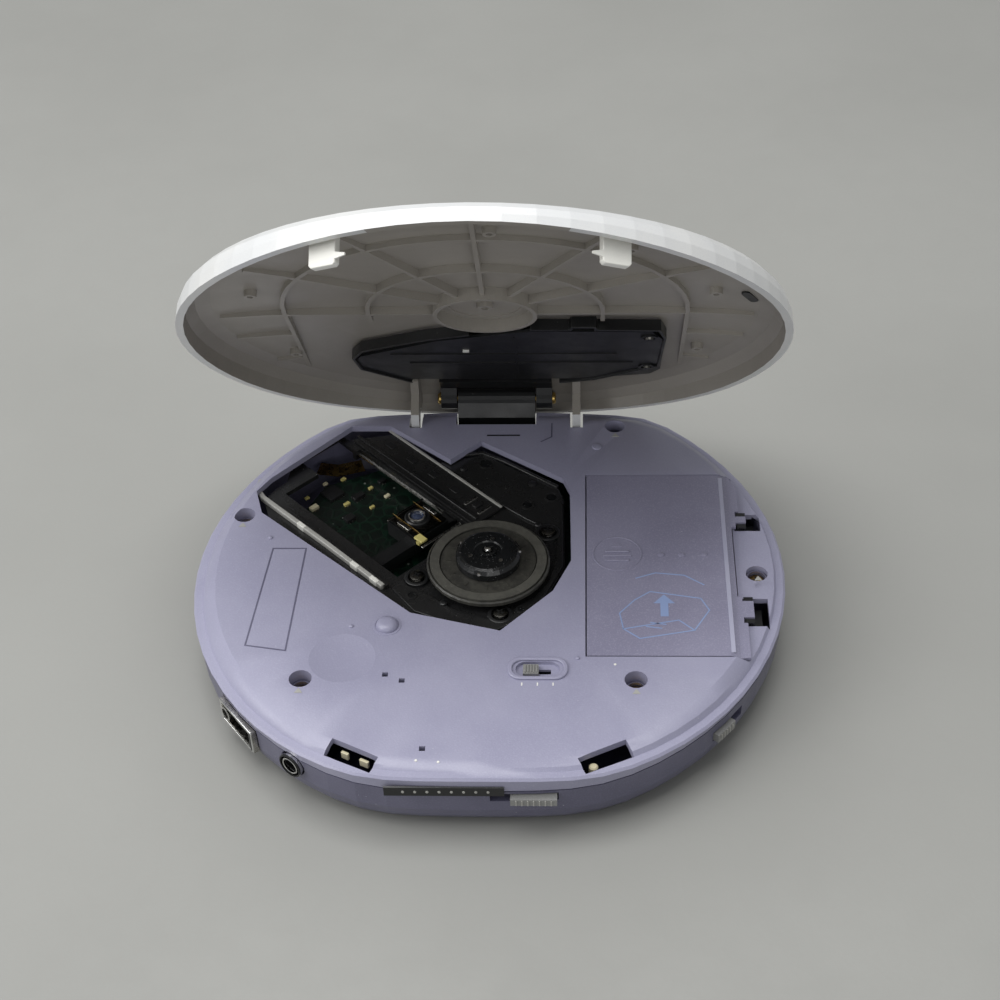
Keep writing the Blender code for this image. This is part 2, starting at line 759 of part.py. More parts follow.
def battery_door():
    slide = holder("battery_door_slide_holder", (door_axis_x, 0, door_axis_height))
    hinge = holder("battery_door_hinge_holder", (door_axis_x, 0, door_axis_height), slide)
    plate_low = deck_height - door_thickness
    tab_top = deck_height - door_tab_drop
    tab_low = tab_top - door_tab_thickness
    profile = [
        (door_left, plate_low), (door_bend - gap, plate_low), (door_right - 2 * gap, tab_low),
        (body_radius, tab_low), (body_radius, tab_top), (door_right - gap, tab_top), (door_bend, deck_height),
        (door_left, deck_height),
    ]
    item = add_piece("battery_door", prism(profile, door_front, door_rear, "Y"), lavender, 0.42, 0.3,
                     parent=hinge)
    short = door_axis_x - door_tab_short
    long = door_axis_x + door_tab_reach
    spans = [(low * body_radius, high * body_radius) for low, high in tab_spans_shares]
    rear_span, front_span = spans
    edge = [
        (door_left, door_front), (door_right, door_front), (short, tab_front_share * body_radius),
        (short, front_span[0]), (long, front_span[0]), (long, front_span[1]), (door_right, front_span[1]),
        (door_right, rear_span[0]), (long, rear_span[0]), (long, rear_span[1]), (short, rear_span[1]),
        (short, tab_rear_share * body_radius), (door_right, door_rear), (door_left, door_rear),
    ]
    keep = add_object("battery_door_outline", prism(edge, tab_low - overrun, deck_height + overrun),
                      world_place(hinge), hinge)
    keep.hide_render = True
    keep.display_type = "WIRE"
    trim = item.modifiers.new("outline", "BOOLEAN")
    trim.operation = "INTERSECT"
    trim.solver = "EXACT"
    trim.object = keep
    upstand = 4 * gap
    barrels = []
    bores = []
    barrel_low = door_axis_height - door_barrel_radius
    strip_top = barrel_low - 2 * gap
    for low, high in spans:
        barrel = disc(door_barrel_radius, low + upstand + gap, high - upstand - gap, steps=12)
        bore = disc(door_pin_radius + pin_clearance, low, high, steps=12)
        place = Matrix.Translation((door_axis_x, 0, door_axis_height)) @ Matrix.Rotation(-math.pi / 2, 4, "X")
        barrels.append(turned_to(barrel, place))
        bores.append(turned_to(bore, place))
    tab_room = []
    for low, high in spans:
        for start in (low, high - upstand):
            tab_room.append(block(door_axis_x - door_barrel_radius - gap, door_axis_x + door_barrel_radius + gap,
                                  start - gap, start + upstand + gap, tab_low - overrun,
                                  door_axis_height + door_barrel_radius + gap))
    cut(item, tab_room, "slider_room")
    fuse(item, barrels, "barrels")
    cut(item, bores, "bores")
    side = door_barrel_radius
    place = Matrix.Translation((door_axis_x, 0, door_axis_height)) @ Matrix.Rotation(-math.pi / 2, 4, "X")
    for name, (low, high) in zip(("rear", "front"), spans):
        frame = [
            (low, strip_top - 2 * gap), (high, strip_top - 2 * gap), (high, door_axis_height + side),
            (high - upstand, door_axis_height + side), (high - upstand, strip_top), (low + upstand, strip_top),
            (low + upstand, door_axis_height + side), (low, door_axis_height + side),
        ]
        slider = add_piece("door_slider_" + name, prism(frame, door_axis_x - side, door_axis_x + side, "X"),
                           soft_black, 0.5, parent=slide)
        hole = disc(door_pin_radius + pin_clearance, low - gap, high + gap, steps=12)
        cut(slider, [turned_to(hole, place)], "pin_hole")
        pin = disc(door_pin_radius, low + gap, high - gap, steps=12)
        add_piece("door_pin_" + name, turned_to(pin, place), steel, 0.25, 1.0, parent=slide)


def chassis_outline():
    return inset_outline([plan(share) for share in opening_shares], chassis_clearance)


def mechanism():
    item = add_piece("mechanism_chassis", prism(chassis_outline(), chassis_low, chassis_top), soft_black, 0.55)
    bay_half = pickup_width / 2 + 3 * gap
    far = window_far - chassis_lip_width
    near = window_near + chassis_lip_width
    end = sled_bay_end + chassis_lip_width
    half = bay_half + chassis_lip_width
    under_deck = [
        (window_end * 0.8, far), (window_end, far), (end, -half), (end, half), (window_end, near),
        (window_end * 0.8, near),
    ]
    fuse(item, [along_pickup(prism(under_deck, chassis_low + gap / 2, chassis_top - gap / 2))], "outer_end")
    lip = block(window_start - chassis_lip_width, window_end * 0.9, window_far - 4 * chassis_lip_width,
                window_far - 3 * chassis_lip_width, chassis_low + gap, chassis_top + chassis_lip_height)
    fuse(item, [along_pickup(lip)], "lip")
    lugs = []
    lug_low = rod_height - rod_radius - 2 * gap
    lug_half = lug_half_width
    inner = window_start - 3 * gap
    outer = lens_inner_track + pickup_travel + 2 * gap
    for offset in (near_rod_offset, far_rod_offset):
        for start in (inner - 4 * gap, outer):
            lugs.append(block(start, start + 4 * gap, offset - lug_half, offset + lug_half, lug_low,
                              chassis_low + gap))
    lugs.append(block(lead_screw_end, lead_screw_end + 4 * gap, lead_screw_offset - lug_half,
                      lead_screw_offset + lug_half, lug_low, chassis_low + gap))
    fuse(item, [along_pickup(lug) for lug in lugs], "rod_lugs")
    window = [
        (window_start, window_far), (window_end, window_far), (window_end, -bay_half), (sled_bay_end, -bay_half),
        (sled_bay_end, bay_half), (window_end, bay_half), (window_end, window_near), (window_start, window_near),
    ]
    window = prism(window, chassis_low - overrun, chassis_top + overrun)
    holes = [along_pickup(window), disc(shaft_radius * 4, chassis_low - overrun, chassis_top + overrun)]
    holes += [disc(screw_bore_radius, chassis_low - overrun, chassis_top + overrun, plan(share))
              for share in chassis_screw_shares]
    cut(item, holes, "holes")
    rod_holes = []
    for offset in (near_rod_offset, far_rod_offset, lead_screw_offset):
        hole = lying(disc(rod_radius + gap, inner - overrun, outer + overrun, steps=12))
        rod_holes.append(along_pickup(turned_to(hole, Matrix.Translation((0, offset, rod_height)))))
    cut(item, rod_holes, "rod_holes")
    for name, offset in (("near", near_rod_offset), ("far", far_rod_offset)):
        rod = lying(disc(rod_radius, inner - 3 * gap, outer + 3 * gap, steps=12))
        turned_to(rod, Matrix.Translation((0, offset, rod_height)))
        add_piece("guide_rod_" + name, along_pickup(rod), steel, 0.2, 1.0)
    places = [plan(share) for share in chassis_screw_shares]
    damper = ring(damper_radius, screw_bore_radius, chassis_low - gap - damper_height(), chassis_low - gap,
                  steps=16)
    add_copies("chassis_damper", damper, places, black_plastic, 0.8)
    seat = chassis_top + gap
    profile = [
        (0, board_low), (screw_shank_radius, board_low), (screw_shank_radius, seat),
        (chassis_screw_head_radius, seat), (chassis_screw_head_radius * 0.8, seat + chassis_screw_head_height),
        (0, seat + chassis_screw_head_height),
    ]
    add_copies("chassis_screw", turned(profile, steps=round_steps), places, black_plastic, 0.35, 0.8)
    cover_near = window_near + 2 * gap
    cover_far = cover_near + rail_cover_width
    cover = [(window_start, cover_near), (sled_bay_end * 0.94, cover_near), (sled_bay_end * 0.84, cover_far),
             (window_start, cover_far)]
    item = add_piece("rail_cover", along_pickup(prism(cover, chassis_top + gap, chassis_top + 3 * gap)),
                     black_plastic, 0.35, 0.4)
    motor_low = chassis_low - gap - spindle_motor_height
    motor = turned([(shaft_radius + pin_clearance, motor_low), (spindle_motor_radius * 0.9, motor_low),
                    (spindle_motor_radius, motor_low + 2 * gap), (spindle_motor_radius, chassis_low - gap),
                    (shaft_radius + pin_clearance, chassis_low - gap)], hollow=True, steps=32)
    add_piece("spindle_motor", motor, steel, 0.35, 1.0)
    feed_start = window_start - gap - feed_motor_length
    feed = lying(disc(feed_motor_radius, feed_start, window_start - 3 * gap, steps=16))
    turned_to(feed, Matrix.Translation((0, lead_screw_offset, rod_height - 2 * gap)))
    add_piece("feed_motor", along_pickup(feed), steel, 0.35, 1.0)


def turntable():
    axis = holder("turntable_holder", (0, 0, turntable_top))
    groove_floor = turntable_top - friction_groove
    rise = turntable_top - gap
    profile = [
        (shaft_radius + pin_clearance, turntable_low - 3 * gap), (hub_radius * 0.55, turntable_low - 3 * gap),
        (hub_radius * 0.55, turntable_low), (turntable_radius - gap, turntable_low),
        (turntable_radius, turntable_low + gap), (turntable_radius, rise), (turntable_radius - gap, turntable_top),
        (friction_ring_outer + gap, turntable_top), (friction_ring_outer + gap, groove_floor),
        (friction_ring_inner - gap, groove_floor), (friction_ring_inner - gap, turntable_top),
        (shaft_radius + pin_clearance, turntable_top),
    ]
    add_piece("turntable", turned(profile, steps=36, hollow=True), soft_black, 0.45, parent=axis)
    add_piece("friction_ring", ring(friction_ring_outer, friction_ring_inner, groove_floor + gap,
                                    turntable_top + friction_ring_rise, steps=36), (0.12, 0.12, 0.12), 0.85,
              parent=axis)
    low = turntable_top + gap
    bore = shaft_radius + pin_clearance
    hub = [
        (bore, low), (hub_radius, low), (hub_radius, hub_top - 4 * gap), (hub_radius - 2 * gap, hub_top - gap),
        (hub_radius - 4 * gap, hub_top), (hub_radius * 0.45, hub_top), (hub_radius * 0.42, hub_top - gap),
        (bore, hub_top - gap),
    ]
    item = add_piece("spindle_hub", turned(hub, steps=30, hollow=True), black_plastic, 0.4, parent=axis)
    catch_half = hub_radius * 0.12
    catch_inner = hub_radius * 0.72
    catches = []
    for index in range(3):
        spin = Matrix.Rotation(full_turn * index / 3 - math.pi / 2, 4, "Z")
        outline = [
            (catch_inner, low + 3 * gap), (hub_radius, low + 3 * gap), (hub_radius + gap, low + 5 * gap),
            (hub_radius - gap, hub_top - 5 * gap), (catch_inner, hub_top - 5 * gap),
        ]
        catches.append(turned_to(prism(outline, -catch_half, catch_half, "Y"), spin))
    fuse(item, catches, "catches")
    motor_low = chassis_low - gap - spindle_motor_height
    shaft = turned([(0, motor_low), (shaft_radius, motor_low), (shaft_radius, hub_top + gap),
                    (shaft_radius * 0.5, hub_top + 2 * gap), (0, hub_top + 2 * gap)], steps=12)
    add_piece("spindle_shaft", shaft, steel, 0.2, 1.0, parent=axis)


def pickup():
    place = (lens_inner_track * math.cos(pickup_direction), lens_inner_track * math.sin(pickup_direction),
             rod_height)
    axis = holder("pickup_holder", place)
    half = pickup_length / 2
    start = lens_inner_track - half
    end = lens_inner_track + half
    wide = pickup_width / 2
    sled = block(start, end, -wide, wide, pickup_low, pickup_block_top)
    item = add_piece("pickup_sled", along_pickup(sled), soft_black, 0.5, parent=axis)
    arm_high = rod_height + rod_radius + 2 * gap
    arm_low = rod_height - rod_radius - 2 * gap
    reach = half * 0.72
    arms = block(start + gap, start + gap + reach, far_rod_offset - 2 * rod_radius,
                 lead_screw_offset - lug_half_width - gap, arm_low, arm_high)
    fuse(item, [along_pickup(arms)], "arms")
    bores = []
    for offset in (near_rod_offset, far_rod_offset):
        bore = lying(disc(rod_radius + pin_clearance, start - overrun, end + overrun, steps=12))
        bores.append(along_pickup(turned_to(bore, Matrix.Translation((0, offset, rod_height)))))
    cut(item, bores, "rod_bores")
    well = lens_radius + 2 * gap
    spot = (lens_inner_track * math.cos(pickup_direction), lens_inner_track * math.sin(pickup_direction))
    cut(item, [disc(well, pickup_block_top - 3 * gap, pickup_block_top + overrun, spot)], "lens_well")
    low = pickup_block_top + gap
    plate = block(start + gap, end - gap, -wide + gap, wide - gap, low, low + pickup_plate_thickness)
    item = add_piece("pickup_cover", along_pickup(plate), steel, 0.3, 0.9, parent=axis)
    cut(item, [disc(well, low - overrun, low + overrun, spot)], "lens_hole")
    lens_low = pickup_block_top - 2 * gap
    lens_top = low + pickup_plate_thickness + lens_height
    lens = turned([(0, lens_low), (lens_radius, lens_low), (lens_radius, lens_top - lens_height * 0.5),
                   (lens_radius * 0.72, lens_top - lens_height * 0.3),
                   (lens_radius * 0.6, lens_top - lens_height * 0.3), (lens_radius * 0.35, lens_top - gap / 2),
                   (0, lens_top)], spot, 20)
    add_piece("objective_lens", lens, (0.45, 0.5, 0.6), 0.1, parent=axis)
    coil = block(start - half * 0.2 - gap, start - gap, -wide, -wide * 0.5, arm_high + 2 * gap,
                 pickup_block_top)
    add_piece("focus_block", along_pickup(coil), (0.45, 0.38, 0.16), 0.5, parent=axis)


def lead_screw():
    offset = lead_screw_offset
    start = window_start - gap
    end = lead_screw_end + 5 * gap
    centre = pickup_frame() @ Vector((start, offset, rod_height))
    axis = holder("lead_screw_holder", tuple(centre))
    screw = lying(disc(lead_screw_radius, start, end, steps=12))
    turned_to(screw, Matrix.Translation((0, offset, rod_height)))
    add_piece("lead_screw", along_pickup(screw), steel, 0.25, 1.0, parent=axis)


def front_latch():
    axis = holder("open_knob_holder", (open_knob_left, -front_flat_y, open_knob_low))
    high = open_knob_low + open_knob_height
    inner = -front_flat_y + case_wall + 4 * gap
    knob = block(open_knob_left, open_knob_right, -front_flat_y - open_knob_proud, inner, open_knob_low, high)
    add_piece("open_knob", knob, grey_plastic, 0.4, 0.3, parent=axis)
    nose = slot_matrix(1) @ Vector((latch_nose_x, latch_nose_y, 0))
    radius = latch_nose_radius
    rear = nose.y + 2 * radius
    bar = [
        (open_knob_left + latch_bar_inset, inner + gap), (open_knob_right - latch_bar_inset, inner + gap),
        (nose.x + radius, nose.y - radius / 2), (nose.x + radius, rear), (open_knob_left + latch_bar_inset, rear),
    ]
    low = open_knob_low + gap
    top = low + latch_plate_thickness
    add_piece("latch_bar", prism(bar, low, top), grey_plastic, 0.4, parent=axis)
    post = turned([(0, top + gap), (radius, top + gap), (radius, latch_nose_top - gap),
                   (radius * 0.7, latch_nose_top), (0, latch_nose_top)], (nose.x, nose.y), 16)
    add_piece("latch_nose", post, cream, 0.45, parent=axis)


def switches():
    angle = math.radians(hold_azimuth_degrees - 90)
    place = (body_radius * math.cos(angle), body_radius * math.sin(angle), hold_height)
    axis = holder("hold_switch_holder", place)
    half = hold_knob_length / 2
    tall = hold_knob_height / 2
    knob = block(-hold_depth, hold_proud, -half, half, -tall, tall)
    add_piece("hold_switch", on_side(knob, hold_azimuth_degrees, hold_height, body_radius), grey_plastic, 0.4,
              parent=axis)
    x, y = plan(mode_switch_shares)
    x -= mode_travel / 2
    axis = holder("mode_switch_holder", (x, y, deck_height))
    floor = deck_height - mode_recess_depth + gap
    half = mode_knob_length / 2
    wide = mode_knob_width / 2
    top = block(x - half, x + half, y - wide, y + wide, floor, deck_height + mode_knob_proud)
    item = add_piece("mode_switch", top, grey_plastic, 0.4, parent=axis)
    stem_half = half - 3 * gap
    stem_wide = mode_knob_width / 4 - gap
    stem = block(x - stem_half, x + stem_half, y - stem_wide, y + stem_wide, mode_stem_low, floor + gap)
    fuse(item, [stem], "stem")


def side_sockets():
    inner = case_wall + 4 * gap
    body_half = jack_body_width / 2
    body_tall = jack_body_height / 2
    body = block(-inner - jack_body_length, -inner, -body_half, body_half, -body_tall, body_tall)
    item = add_piece("headphone_jack", on_side(body, jack_azimuth_degrees, jack_height, body_radius), soft_black,
                     0.5)
    barrel = lying(disc(jack_barrel_radius, -inner - gap, 0, steps=20))
    fuse(item, [on_side(barrel, jack_azimuth_degrees, jack_height, body_radius)], "barrel")
    bore = lying(disc(jack_bore_radius, -inner - jack_body_length + gap * 4, overrun, steps=20))
    cut(item, [on_side(bore, jack_azimuth_degrees, jack_height, body_radius)], "bore")
    collar = lying(ring(jack_ring_radius, jack_barrel_radius + gap, -jack_ring_depth, gap, steps=24))
    add_piece("jack_ring", on_side(collar, jack_azimuth_degrees, jack_height, body_radius), black_plastic, 0.3)
    half = socket_width / 2
    tall = socket_tall / 2
    body = block(-socket_depth, gap, -half, half, -tall, tall)
    item = add_piece("side_socket", on_side(body, socket_azimuth_degrees, socket_height, body_radius), steel, 0.35,
                     0.9)
    hollow = block(-socket_depth + socket_wall, overrun, -half + socket_wall, half - socket_wall,
                   -tall + socket_wall, tall - socket_wall)
    cut(item, [on_side(hollow, socket_azimuth_degrees, socket_height, body_radius)], "hollow")


# The lid's outer and inner skins as (inset, height, share of the rim lift)
def lid_skins():
    depth = lid_height - lip_height
    outer = [(inset * body_radius, lip_height + rise * depth, lift) for inset, rise, lift in lid_outer_shares]
    outer.append((None, lid_height, 0))
    inner = [(None, lid_height - lid_wall, 0)]
    for inset, rise, lift in lid_inner_shares:
        inner.append((inset * body_radius, lip_height + rise * depth - lid_wall, lift))
    inner += [(lip_wall + gap, lip_height + lip_bend, 0.3), (lip_wall, lip_height, 1.0)]
    return outer, inner


# The space under the middle of the lid's skin. It trims the ribs so that each one ends inside the skin.
def lid_room():
    outer, inner = lid_skins()
    profile = [(0, 0)]
    for inset, height, share in reversed(inner):
        if inset is None:
            profile.append((0, height + lid_wall / 2))
            continue
        if len(profile) == 1:
            profile.append((body_radius - inset + lip_wall / 2, 0))
        profile.append((body_radius - inset + lip_wall / 2, height + lid_wall / 4))
    return turned(profile, steps=shell_steps)


def lid_top_at(radius):
    outer, inner = lid_skins()
    spots = sorted((0 if inset is None else body_radius - inset, height) for inset, height, share in outer)
    for (r0, z0), (r1, z1) in zip(spots, spots[1:]):
        if r0 <= radius < r1:
            return z0 + (z1 - z0) * (radius - r0) / (r1 - r0)
    return lip_height


def fuse_under_skin(item, parts, name):
    fuse(item, parts, name)
    tool = item.modifiers["add_" + name].object
    room = add_object(tool.name + "_room", lid_room(), world_place(item), item.parent)
    room.hide_render = True
    room.display_type = "WIRE"
    trim = tool.modifiers.new("room", "BOOLEAN")
    trim.operation = "INTERSECT"
    trim.solver = "EXACT"
    trim.object = room


# One straight rib from start to end on the plan, with a sloping outer end.
def rib(start, end, low, run_out):
    start = Vector(start)
    end = Vector(end)
    length = (end - start).length
    along = (end - start).normalized()
    slope_top = lid_top_at(end.length) - lid_wall * 1.4
    outline = [(0, low), (length - run_out, low), (length, slope_top), (length, lid_height), (0, lid_height)]
    bm = prism(outline, -rib_thickness / 2, rib_thickness / 2, "Y")
    angle = math.atan2(along.y, along.x)
    return turned_to(bm, Matrix.Translation((start.x, start.y, 0)) @ Matrix.Rotation(angle, 4, "Z"))


def arc_wall(radius, low, side_run):
    half = rib_thickness / 2
    steps = 24
    outer = [(radius + half, side_run)]
    inner = [(radius - half, side_run)]
    for index in range(steps + 1):
        angle = -math.pi * index / steps
        outer.append(((radius + half) * math.cos(angle), (radius + half) * math.sin(angle)))
        inner.append(((radius - half) * math.cos(angle), (radius - half) * math.sin(angle)))
    outer.append((-radius - half, side_run))
    inner.append((-radius + half, side_run))
    return prism(outer + list(reversed(inner)), low, lid_height)


def lid():
    axis_place = (0, hinge_y, hinge_height)
    axis = holder("lid_holder", axis_place)
    outer, inner = lid_skins()
    item = add_piece("lid_shell", shell(inner + outer, round_radius), pearl_white, 0.35, parent=axis)
    hub_wall = ring(hub_ring_radius, hub_ring_radius - rib_thickness, hub_ring_low, lid_height, steps=40)
    arcs = [hub_wall, arc_wall(inner_arc_radius, rib_low, inner_arc_run_share * inner_arc_radius),
            arc_wall(outer_arc_radius, rib_low, outer_arc_run_share * outer_arc_radius)]
    fuse_under_skin(item, arcs, "arc_ribs")
    ribs = []
    start = hub_ring_radius - rib_thickness / 2
    for degrees in spoke_degrees:
        angle = math.radians(degrees)
        way = Vector((math.cos(angle), math.sin(angle)))
        ribs.append(rib(way * start, way * body_radius * spoke_share, rib_low, body_radius * spoke_run_out_share))
    for level, first, last, run_out in side_rib_shares:
        for side in (-1, 1):
            ribs.append(rib(plan((side * first, level)), plan((side * last, level)), rib_low,
                            body_radius * run_out))
    fuse_under_skin(item, ribs, "straight_ribs")
    arms = []
    stem_top = lid_height - lid_wall * 2
    for side in (-1, 1):
        outline = arc((hinge_y, hinge_height), arm_reach, 222, 262, 4)
        outline += [(hinge_y + y * arm_reach, hinge_height + z * arm_reach) for y, z in arm_shares]
        arms.append(prism(outline, side * arm_x - arm_thickness / 2, side * arm_x + arm_thickness / 2, "X"))
        half = latch_slot_length / 2 - 4 * gap
        outer_end = half * side
        stem_end = (half - hook_stem) * side
        foot_end = (half - hook_foot) * side
        wide = hook_thickness / 2
        hook = [
            (outer_end, hook_low), (foot_end, hook_low), (foot_end, hook_low + hook_foot_height),
            (stem_end, hook_low + hook_foot_height), (stem_end, stem_top), (outer_end, stem_top),
        ]
        arms.append(turned_to(prism(hook, -wide, wide, "Y"), slot_matrix(side)))
    fuse(item, arms, "arms_and_hooks")
    holes = []
    for share in key_shares:
        holes.append(disc(key_radius + gap, rib_low, lid_height + overrun, plan(share)))
    seat = lid_height - lid_wall
    half = display_length / 2 - window_recess_rim
    wide = display_width / 2 - window_recess_rim
    holes.append(block(-half, half, display_y - wide, display_y + wide, rib_low, lid_height + overrun))
    cut(item, holes, "key_holes")
    half = display_length / 2 + gap
    wide = display_width / 2 + gap
    window_low = seat + gap
    cut(item, [block(-half, half, display_y - wide, display_y + wide, window_low - gap / 2,
                     lid_height + overrun)], "window_recess")
    half -= gap
    wide -= gap
    add_piece("display_window", block(-half, half, display_y - wide, display_y + wide, window_low + gap / 2,
                                      window_low + gap / 2 + window_thickness), (0.05, 0.05, 0.06), 0.1,
              parent=axis)
    outline = [plan(share) for share in cover_shares]
    cover = add_piece("lid_inner_cover", prism(outline, cover_low, cover_low + cover_thickness), black_plastic,
                      0.45, parent=axis)
    ring_room = disc(hub_ring_radius + gap, cover_low - overrun, cover_low + overrun, steps=40)
    cut(cover, [ring_room], "hub_room")
    board = inset_outline(outline, 6 * rib_thickness)
    item = add_piece("lid_board", prism(board, lid_board_low, lid_board_low + lid_board_thickness), board_green,
                     0.5, parent=axis)
    low = lid_board_low + lid_board_thickness + gap / 2
    half = display_length / 2 - 2 * window_recess_rim
    wide = display_width / 2 - 2 * window_recess_rim
    add_piece("display_module", block(-half, half, display_y - wide, display_y + wide, low,
                                      low + display_thickness), (0.25, 0.28, 0.22), 0.3, parent=axis)
    high = cover_low - gap
    shank = cover_screw_head_radius * 0.5
    for index, share in enumerate(cover_screw_shares):
        profile = [
            (0, high - cover_screw_head_height), (cover_screw_head_radius * 0.8, high - cover_screw_head_height),
            (cover_screw_head_radius, high), (shank, high), (shank, cover_low + cover_thickness + gap),
            (0, cover_low + cover_thickness + gap),
        ]
        add_piece("lid_cover_screw_" + str(index + 1), turned(profile, plan(share), 12), black_plastic, 0.35, 0.8,
                  parent=axis)
    holes = [disc(cover_screw_head_radius * 0.5 + gap, cover_low - overrun, cover_low + overrun, plan(share), 12)
             for share in cover_screw_shares]
    cut(cover, holes, "screw_holes")
    hinge_pieces(axis)
    for name, share in zip(key_names, key_shares):
        lid_key(name, plan(share), axis)
    axis.rotation_euler = (math.radians(-lid_open_degrees), 0, 0)


def lid_key(name, centre, lid_axis):
    radius = math.hypot(*centre)
    top = lid_top_at(radius) + key_proud
    axis = holder(name + "_holder", (*centre, top), lid_axis)
    profile = [(0, key_low), (key_radius, key_low), (key_radius, top - 2 * gap), (key_radius - 2 * gap, top),
               (0, top)]
    add_piece(name, turned(profile, centre, 24), grey_plastic, 0.35, 0.2, parent=axis)


def hinge_pieces(lid_axis):
    barrel = hinge_barrel_radius
    centre = (hinge_y, hinge_height)
    half = hinge_block_half
    foot_low = hinge_foot_height
    neck_front = rear_flat_y - case_wall
    outline = arc(centre, barrel, -70, 170, 12)
    outline += [
        (neck_front, hinge_height - barrel), (neck_front, foot_low + hinge_foot_thickness),
        (hinge_y - hinge_foot_front + gap, foot_low + hinge_foot_thickness), (hinge_y - hinge_foot_front + gap, foot_low),
        (rear_flat_y - gap, foot_low), (rear_flat_y + gap, hinge_height - barrel - 2 * gap),
    ]
    item = add_piece("hinge_block", prism(outline, -half, half, "X"), black_plastic, 0.5)
    bore = prism(arc(centre, hinge_pin_radius + pin_clearance, 0, 330, 11), -half - overrun, half + overrun, "X")
    cut(item, [bore], "pin_bore")
    reach = half + gap + hinge_knuckle_width
    pin = prism(arc(centre, hinge_pin_radius, 0, 330, 11), -reach - gap, reach + gap, "X")
    add_piece("hinge_pin", pin, steel, 0.25, 1.0)
    plate_low = cover_low
    plate_high = cover_low + 3 * gap
    plate_front = hinge_y - hinge_plate_reach
    plate_rear = hinge_y - barrel - 3 * gap
    bracket = block(-reach, reach, plate_front, plate_rear, plate_low, plate_high)
    item = add_piece("hinge_bracket", bracket, black_plastic, 0.5, parent=lid_axis)
    knuckles = []
    for side in (-1, 1):
        outline = arc(centre, barrel, -180, 80, 12)
        outline += [(plate_rear + gap, plate_high), (plate_front + 4 * gap, plate_high),
                    (plate_front + 4 * gap, plate_low + gap), (plate_rear - gap, plate_low + gap)]
        ends = sorted((side * (half + gap), side * reach))
        knuckles.append(prism(outline, ends[0], ends[1], "X"))
    fuse(item, knuckles, "knuckles")
    bore = prism(arc(centre, hinge_pin_radius + pin_clearance, 0, 330, 11), -reach - overrun, reach + overrun, "X")
    cut(item, [bore], "pin_bore")


def main():
    clear_scene()
    lower_case()
    upper_case()
    case_fasteners()
    boards_and_bay()
    battery_door()
    mechanism()
    turntable()
    pickup()
    lead_screw()
    front_latch()
    switches()
    side_sockets()
    lid()


main()
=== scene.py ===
import math

import bmesh
import bpy
from mathutils import Matrix, Vector
from mathutils.bvhtree import BVHTree


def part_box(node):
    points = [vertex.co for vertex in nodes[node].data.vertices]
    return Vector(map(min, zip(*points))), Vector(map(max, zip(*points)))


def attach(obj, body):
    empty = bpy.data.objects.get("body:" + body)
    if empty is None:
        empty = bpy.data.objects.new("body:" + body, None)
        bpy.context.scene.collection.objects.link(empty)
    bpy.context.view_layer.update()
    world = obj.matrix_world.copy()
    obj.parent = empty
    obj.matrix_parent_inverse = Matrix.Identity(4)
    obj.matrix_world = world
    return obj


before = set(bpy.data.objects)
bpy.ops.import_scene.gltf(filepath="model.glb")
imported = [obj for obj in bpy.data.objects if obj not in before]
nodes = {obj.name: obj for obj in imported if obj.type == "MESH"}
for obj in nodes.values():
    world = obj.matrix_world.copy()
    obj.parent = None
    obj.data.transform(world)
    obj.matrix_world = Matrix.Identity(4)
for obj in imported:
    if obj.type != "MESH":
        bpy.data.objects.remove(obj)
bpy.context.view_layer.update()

print("frame loaded:", len(nodes), "nodes")

mm = 0.001
fullTurn = 2 * math.pi
scene = bpy.context.scene


# Colours and finishes. Screen levels 0 to 255 are turned into linear light.

def tone(red, green, blue):
    levels = []
    for level in (red, green, blue):
        share = level / 255
        levels.append(share / 12.92 if share <= 0.04045 else ((share + 0.055) / 1.055) ** 2.4)
    return (*levels, 1.0)


def blankFinish(name):
    material = bpy.data.materials.new(name)
    material.use_nodes = True
    tree = material.node_tree
    shader = tree.nodes["Principled BSDF"]
    place = tree.nodes.new("ShaderNodeTexCoord").outputs["Object"]
    return material, tree, shader, place


def plug(tree, source, socket):
    if hasattr(source, "is_output"):
        tree.links.new(source, socket)
    else:
        socket.default_value = source


def noiseOf(tree, place, scale, detail=2, rough=0.5):
    noise = tree.nodes.new("ShaderNodeTexNoise")
    noise.inputs["Scale"].default_value = scale
    noise.inputs["Detail"].default_value = detail
    noise.inputs["Roughness"].default_value = rough
    plug(tree, place, noise.inputs["Vector"])
    return noise.outputs["Fac"]


def stretched(tree, place, x, y, z):
    mapping = tree.nodes.new("ShaderNodeMapping")
    mapping.inputs["Scale"].default_value = (x, y, z)
    plug(tree, place, mapping.inputs["Vector"])
    return mapping.outputs["Vector"]


def rangeOf(tree, source, low, high, outLow=0.0, outHigh=1.0):
    node = tree.nodes.new("ShaderNodeMapRange")
    node.interpolation_type = "SMOOTHSTEP"
    values = (low, high, outLow, outHigh)
    for socket, value in zip(("From Min", "From Max", "To Min", "To Max"), values):
        node.inputs[socket].default_value = value
    plug(tree, source, node.inputs["Value"])
    return node.outputs["Result"]


def sumOf(tree, first, second, kind="MULTIPLY"):
    node = tree.nodes.new("ShaderNodeMath")
    node.operation = kind
    plug(tree, first, node.inputs[0])
    plug(tree, second, node.inputs[1])
    return node.outputs[0]


def mixed(tree, share, first, second):
    node = tree.nodes.new("ShaderNodeMix")
    node.data_type = "RGBA"
    plug(tree, share, node.inputs["Factor"])
    plug(tree, first, node.inputs[6])
    plug(tree, second, node.inputs[7])
    return node.outputs[2]


